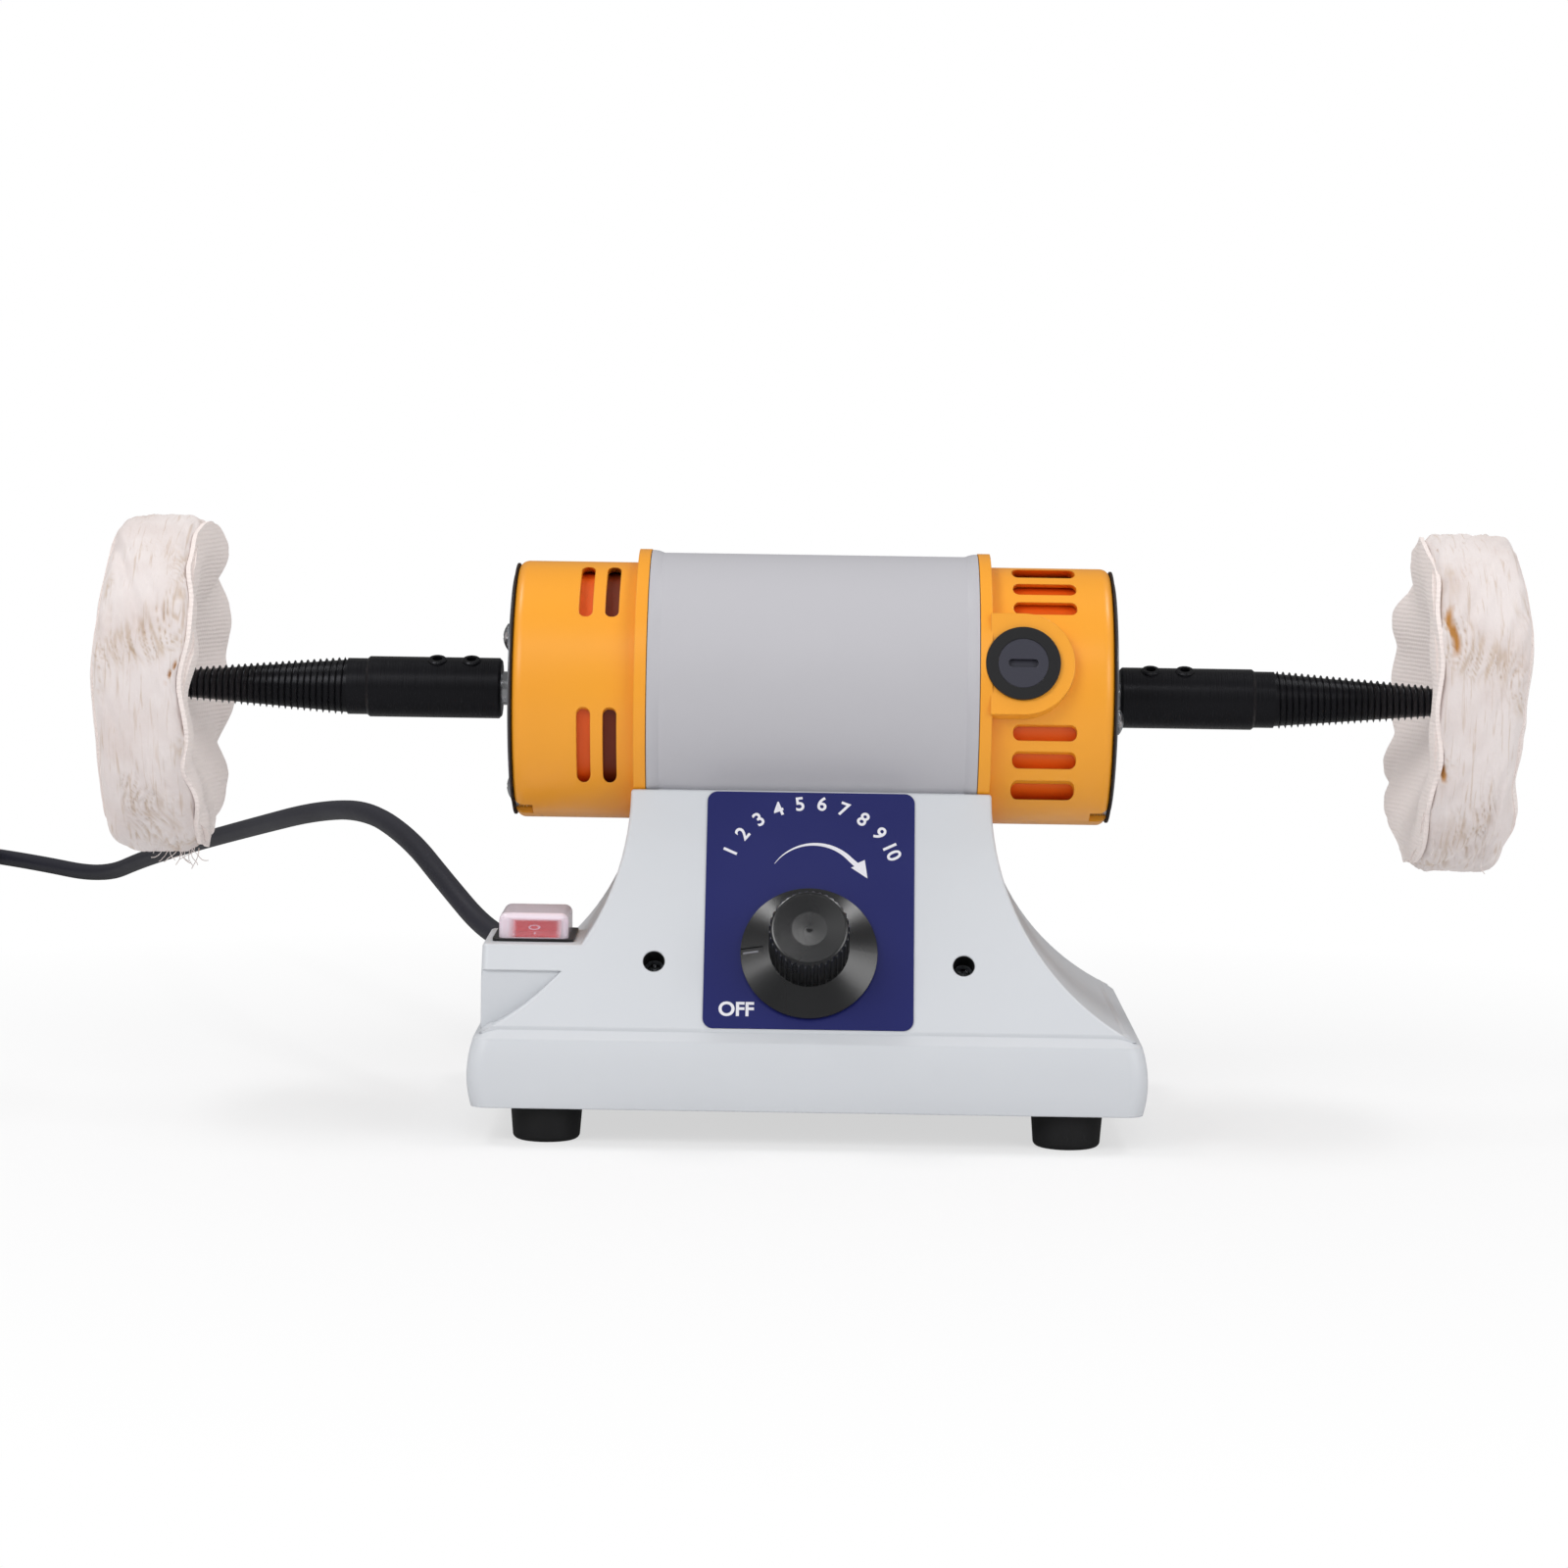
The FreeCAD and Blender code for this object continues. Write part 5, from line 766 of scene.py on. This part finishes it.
def air_guide(name, stretches, material):
    """Thin curved walls just inside a cap, coloured as painted light: the amber walls are a painted glow of
    light through the translucent cap, and the brown one is painted shade inside it.
    A stretch is where it starts and ends along the axis, and its first and last angle, up from the front."""
    inside, outside = 34.1, 34.9
    walls = []
    for start, stop, first, last in stretches:
        section = [(start, inside), (stop, inside), (stop, outside), (start, outside)]
        wall = lathe("wall", section, (last - first) // 4, last - first)
        walls.append(stood(wall, AXIS, Matrix.Rotation(math.radians(90 - last), 4, "X")))
    carried(smooth(joined(name, walls)), material, "base", "yellow_abs")


def cap_lock_tabs():
    """A small bright tab at the edge of each cap, below and to the front."""
    face, radius, turn = 84.7, 35.8, math.radians(-65.5)
    way = Vector((0, -math.cos(turn), math.sin(turn)))
    tabs = []
    for side in (-1, 1):
        place = AXIS + Vector((face * side, 0, 0)) + way * radius
        tabs.append(stood(bar("tab", (0.8, 5.0, 6.4), 0.2), place, pointing(way)))
    carried(smooth(joined("cap_lock_tabs", tabs)), zinc, "base", "zinc_screws")


# painted light: the amber walls are a painted glow through the translucent caps, and the brown ring is
# painted shade
air_guide("left_painted_glow_wall", [(-81.4, -63.2, 0, 360)], amber_painted_glow)
air_guide("left_painted_shade_wall", [(-62.4, -53, 0, 360)], brown_painted_shade)
air_guide("right_painted_glow_wall", [(54, 81.4, 36, 176), (54, 81.4, -148, -4)], amber_painted_glow)
cap_lock_tabs()


# ---------------------------------------------------------------- the ends of the mains lead

def ribbed(start, stop, first, last, groove, count):
    """Rings of a bend protector from radius first to last, with grooves between, as (along, radius)."""
    outline, pitch = [], (stop - start) / count
    for ring in range(count):
        at, out = start + pitch * ring, first + (last - first) * ring / (count - 1)
        outline += [(at, out - groove), (at + 0.1 * pitch, out - 0.15), (at + 0.2 * pitch, out),
                    (at + 0.6 * pitch, out), (at + 0.7 * pitch, out - 0.15), (at + 0.8 * pitch, out - groove)]
    return outline


def strain_relief():
    """A ribbed sleeve round the lead where it comes out of the switch box."""
    flange = [(-4, 3.45), (-4, 5), (0, 5), (0, 6.3), (0.3, 6.6), (1.4, 6.6), (1.9, 6.2)]
    outline = flange + ribbed(2.4, 21.6, 5.7, 4.5, 0.8, 7) + [(22, 4.1), (22, 3.45)]
    made = stood(lathe("lead_strain_relief", outline, 48), (-84, -9, 46), pointing((0, 1, 0)))
    carried(smooth(made), black_rubber, "base", "black_rubber", "cord_grip")


def moulded_plug():
    """A round plug moulded on the lead: a ribbed neck, and a body with grip ridges."""
    body = [(20.5, 6), (23, 8.2), (26, 10.6), (29, 11.9), (32.5, 12.5), (51, 12.5), (53.4, 12.1), (55.2, 11),
            (56, 9.6), (56, 9.2), (55.2, 8.9), (55.2, 0)]
    made = [lathe("plug", [(0, 0), (0, 3.9)] + ribbed(0.4, 19, 4.4, 5.6, 0.7, 6) + body, 72)]
    ridges = 16
    for ridge in range(ridges):
        turn = Matrix.Rotation(math.tau * ridge / ridges, 4, "X")
        made.append(stood(bar("ridge", (15, 1.5, 1.3), 0.35), turn @ Vector((42, 0, 12.3)), turn))
    made = stood(joined("moulded_plug", made), PLUG_END, pointing((0, -1, 0)))
    carried(smooth(made), black_rubber, "base", "black_rubber", "plug_body")


def coil_tie():
    """A woven band round the bundle of turns: a block with rounded long edges, open at its two ends."""
    made = bar("coil_tie", (7, 15.2, 14.5))
    for edge in editing(made).edges:
        edge.select = abs(edge.verts[0].co.x - edge.verts[1].co.x) > 1 * MM
    bpy.ops.mesh.bevel(offset=4 * MM, segments=5, affect="EDGES")
    bpy.ops.mesh.select_all(action="DESELECT")
    for face in bmesh.from_edit_mesh(made.data).faces:
        face.select = abs(face.normal.x) > 0.9
    bpy.ops.mesh.delete(type="FACE")
    done()
    applied(made, "SOLIDIFY", thickness=0.7 * MM, offset=-1)
    turn = math.radians(300)
    stood(made, on_coil(turn, COIL_RADIUS, 7.28), pointing((-math.sin(turn), math.cos(turn), 0)))
    carried(smooth(outward(made)), woven_tie, "base", "black_rubber")


strain_relief()
moulded_plug()
coil_tie()


# ---------------------------------------------------------------- printing on the dial, knob and switch

def on_film(u, v, proud):
    """A point above the label: u mm to the right of the knob's axis and v mm up the slope."""
    return KNOB_FOOT + Vector((u, 0, 0)) + PANEL_UP * v + PANEL_OUT * (FILM_FACE + proud)


def upright(up, turn=0.0):
    """The turn that stands letters with their tops towards up, which leans back from the front."""
    right = Vector((1, 0, 0))
    return Matrix((right, up, right.cross(up))).transposed().to_4x4() @ Matrix.Rotation(turn, 4, "Z")


def lettering(name, words, size, place, turn, bold=0.0):
    """Words in the plain built-in face, size mm tall, as a film of ink 0.08 mm thick."""
    capital, ink = 0.69, 0.08    # a capital's height in this face at size 1, and the film's thickness
    bpy.ops.object.text_add()
    data = bpy.context.object.data
    data.body, data.size = words, size / capital * MM
    data.align_x, data.align_y = "CENTER", "CENTER"
    data.offset, data.extrude = bold * MM, ink / 2 * MM
    bpy.ops.object.convert(target="MESH")
    return stood(named(name), place, turn)


def dial_numbers():
    """Plain numbers 1 to 10 on an arc above the knob."""
    u, v, radius, first, last = 0.35, 20.43, 25.55, 155.6, 26.2
    made = []
    for number in range(1, 11):
        angle = math.radians(first + (last - first) * (number - 1) / 9)
        place = on_film(u + radius * math.cos(angle), v + radius * math.sin(angle), 0.02)
        turn = upright(PANEL_UP, angle - math.pi / 2)
        made.append(lettering("number", str(number), 4.0, place, turn, 0.11))
    return joined("dial_numbers", made)


def speed_arrow():
    """A thin arc that swells to a barbed head: faster is clockwise."""
    u, v, radius, first, last, steps = 1.25, 19.67, 13.9, 146, 37.5, 24
    head = [(13.71, 28.03), (15.68, 28.98), (16.53, 23.32), (11.74, 26.57), (12.73, 26.95)]
    outer, inner = [], []
    for part in range(steps + 1):
        angle = math.radians(first + (last - first) * part / steps)
        half = 0.06 + 0.66 * part / steps
        for edge, out in ((outer, radius + half), (inner, radius - half)):
            edge.append((u + out * math.cos(angle), v + out * math.sin(angle)))
    ring = outer[:-1] + head + inner[-2::-1]
    made = outlined("speed_arrow", [on_film(*point, 0.06) for point in ring], "NGON")
    editing(made, "SELECT")
    bpy.ops.mesh.extrude_region_move(TRANSFORM_OT_translate={"value": PANEL_OUT * (-0.08 * MM)})
    done()
    return outward(made)


def off_mark():
    """OFF beside the knob, at the lower left of the dial."""
    return lettering("off_mark", "OFF", 4.0, on_film(-20.5, -17.0, 0.02), upright(PANEL_UP), 0.15)


def knob_pointer():
    """A painted line that lies on the slope of the knob's skirt."""
    slope = math.atan(0.469)
    way = Vector((math.cos(slope), 0, 0)) + PANEL_OUT * math.sin(slope)
    turn = Matrix((way, PANEL_UP, way.cross(PANEL_UP))).transposed().to_4x4()
    place = KNOB_FOOT + Vector((-16.6, 0, 0)) - PANEL_UP * 0.4 + PANEL_OUT * 2.43
    line = stood(bar("knob_pointer_line", (4.8, 0.55, 0.12)), place, turn)
    carried(line, pointer_paint, "knob", "black_phenolic")


def rocker_marks():
    """O and I on the two halves of the rocker, which lean back by different angles."""
    marks = []
    for letter, place, lean in (("O", (-80.0, -24.5, 57.66), 17.3), ("I", (-79.4, -32.0, 56.94), 0.7)):
        up = Vector((0, math.cos(math.radians(lean)), math.sin(math.radians(lean))))
        marks.append(lettering("mark", letter, 3.2, place, upright(up)))
    carried(joined("rocker_marks", marks), white_ink, "rocker", "rocker_red")


for dial_print in (dial_numbers(), speed_arrow(), off_mark()):
    carried(dial_print, white_ink, "base", "label_film")
knob_pointer()
rocker_marks()


# ---------------------------------------------------------------- bench and light

def bench():
    """A pale bench that keeps the shadows near the lathe, fades to white further out, and is dim in
    reflections."""
    bpy.ops.mesh.primitive_plane_add(size=12, location=(0, 0, 0))
    made = named("bench_top")
    material, tree, shader, place = finish("pale_bench", "#EFEFF0", 0.8)
    far = add_node(tree, "VectorMath", {0: place}, operation="LENGTH").outputs["Value"]
    fade = add_node(tree, "MapRange", {"Value": far, "From Min": 0.12, "From Max": 0.46, "To Min": 0.62})
    path = add_node(tree, "LightPath").outputs
    straight = add_node(tree, "Math", {0: path["Is Camera Ray"], 1: path["Is Transmission Ray"]},
                        operation="MAXIMUM")
    share = add_node(tree, "Math", {0: straight.outputs[0], 1: fade.outputs["Result"]}, operation="MULTIPLY")
    glow = add_node(tree, "Emission", {"Color": (1, 1, 1, 1), "Strength": 1.0})
    dim = add_node(tree, "Emission", {"Color": (1, 1, 1, 1), "Strength": 0.16})
    mirrored = add_node(tree, "Math", {0: path["Is Glossy Ray"], 1: 0.8}, operation="MULTIPLY")
    surface = add_node(tree, "MixShader", {0: mirrored.outputs[0], 1: shader.outputs[0], 2: dim.outputs[0]})
    mix = add_node(tree, "MixShader", {0: share.outputs[0], 1: surface.outputs[0], 2: glow.outputs[0]})
    tree.links.new(mix.outputs[0], tree.nodes["Material Output"].inputs["Surface"])
    dress(material, made)


def room():
    """An even pale room; what looks straight at it sees white, and reflections see it dimmer."""
    world = bpy.data.worlds.new("pale_room")
    bpy.context.scene.world = world
    world.use_nodes = True
    tree = world.node_tree
    path = add_node(tree, "LightPath").outputs
    seen = add_node(tree, "Math", {0: path["Is Camera Ray"], 1: path["Is Transmission Ray"]},
                    operation="MAXIMUM")
    mirrored = add_node(tree, "MapRange", {"Value": path["Is Glossy Ray"], "To Min": 0.45, "To Max": 0.17})
    strength = add_node(tree, "MapRange", {"Value": seen.outputs[0], "To Min": mirrored.outputs["Result"],
                                           "To Max": 1.0})
    ground = tree.nodes["Background"]
    ground.inputs["Color"].default_value = (1, 1, 1, 1)
    tree.links.new(strength.outputs["Result"], ground.inputs["Strength"])


bench()
room()
softbox("key_softbox", (-1.0, -1.3, 1.1), (0, 0, 0.1), (0.9, 0.9), 11.5)
softbox("fill_softbox", (1.2, -1.2, 0.8), (0, 0, 0.1), (0.9, 0.9), 7.4)
softbox("left_top_softbox", (-0.75, 0.2, 1.45), (0, 0, 0.1), (0.6, 0.35), 5)
softbox("right_top_softbox", (0.75, 0.2, 1.45), (0, 0, 0.1), (0.6, 0.35), 5)
softbox("dial_softbox", (0.05, -1.0, 1.12), (0, -0.05, 0.05), (0.2, 0.14), 0.6)
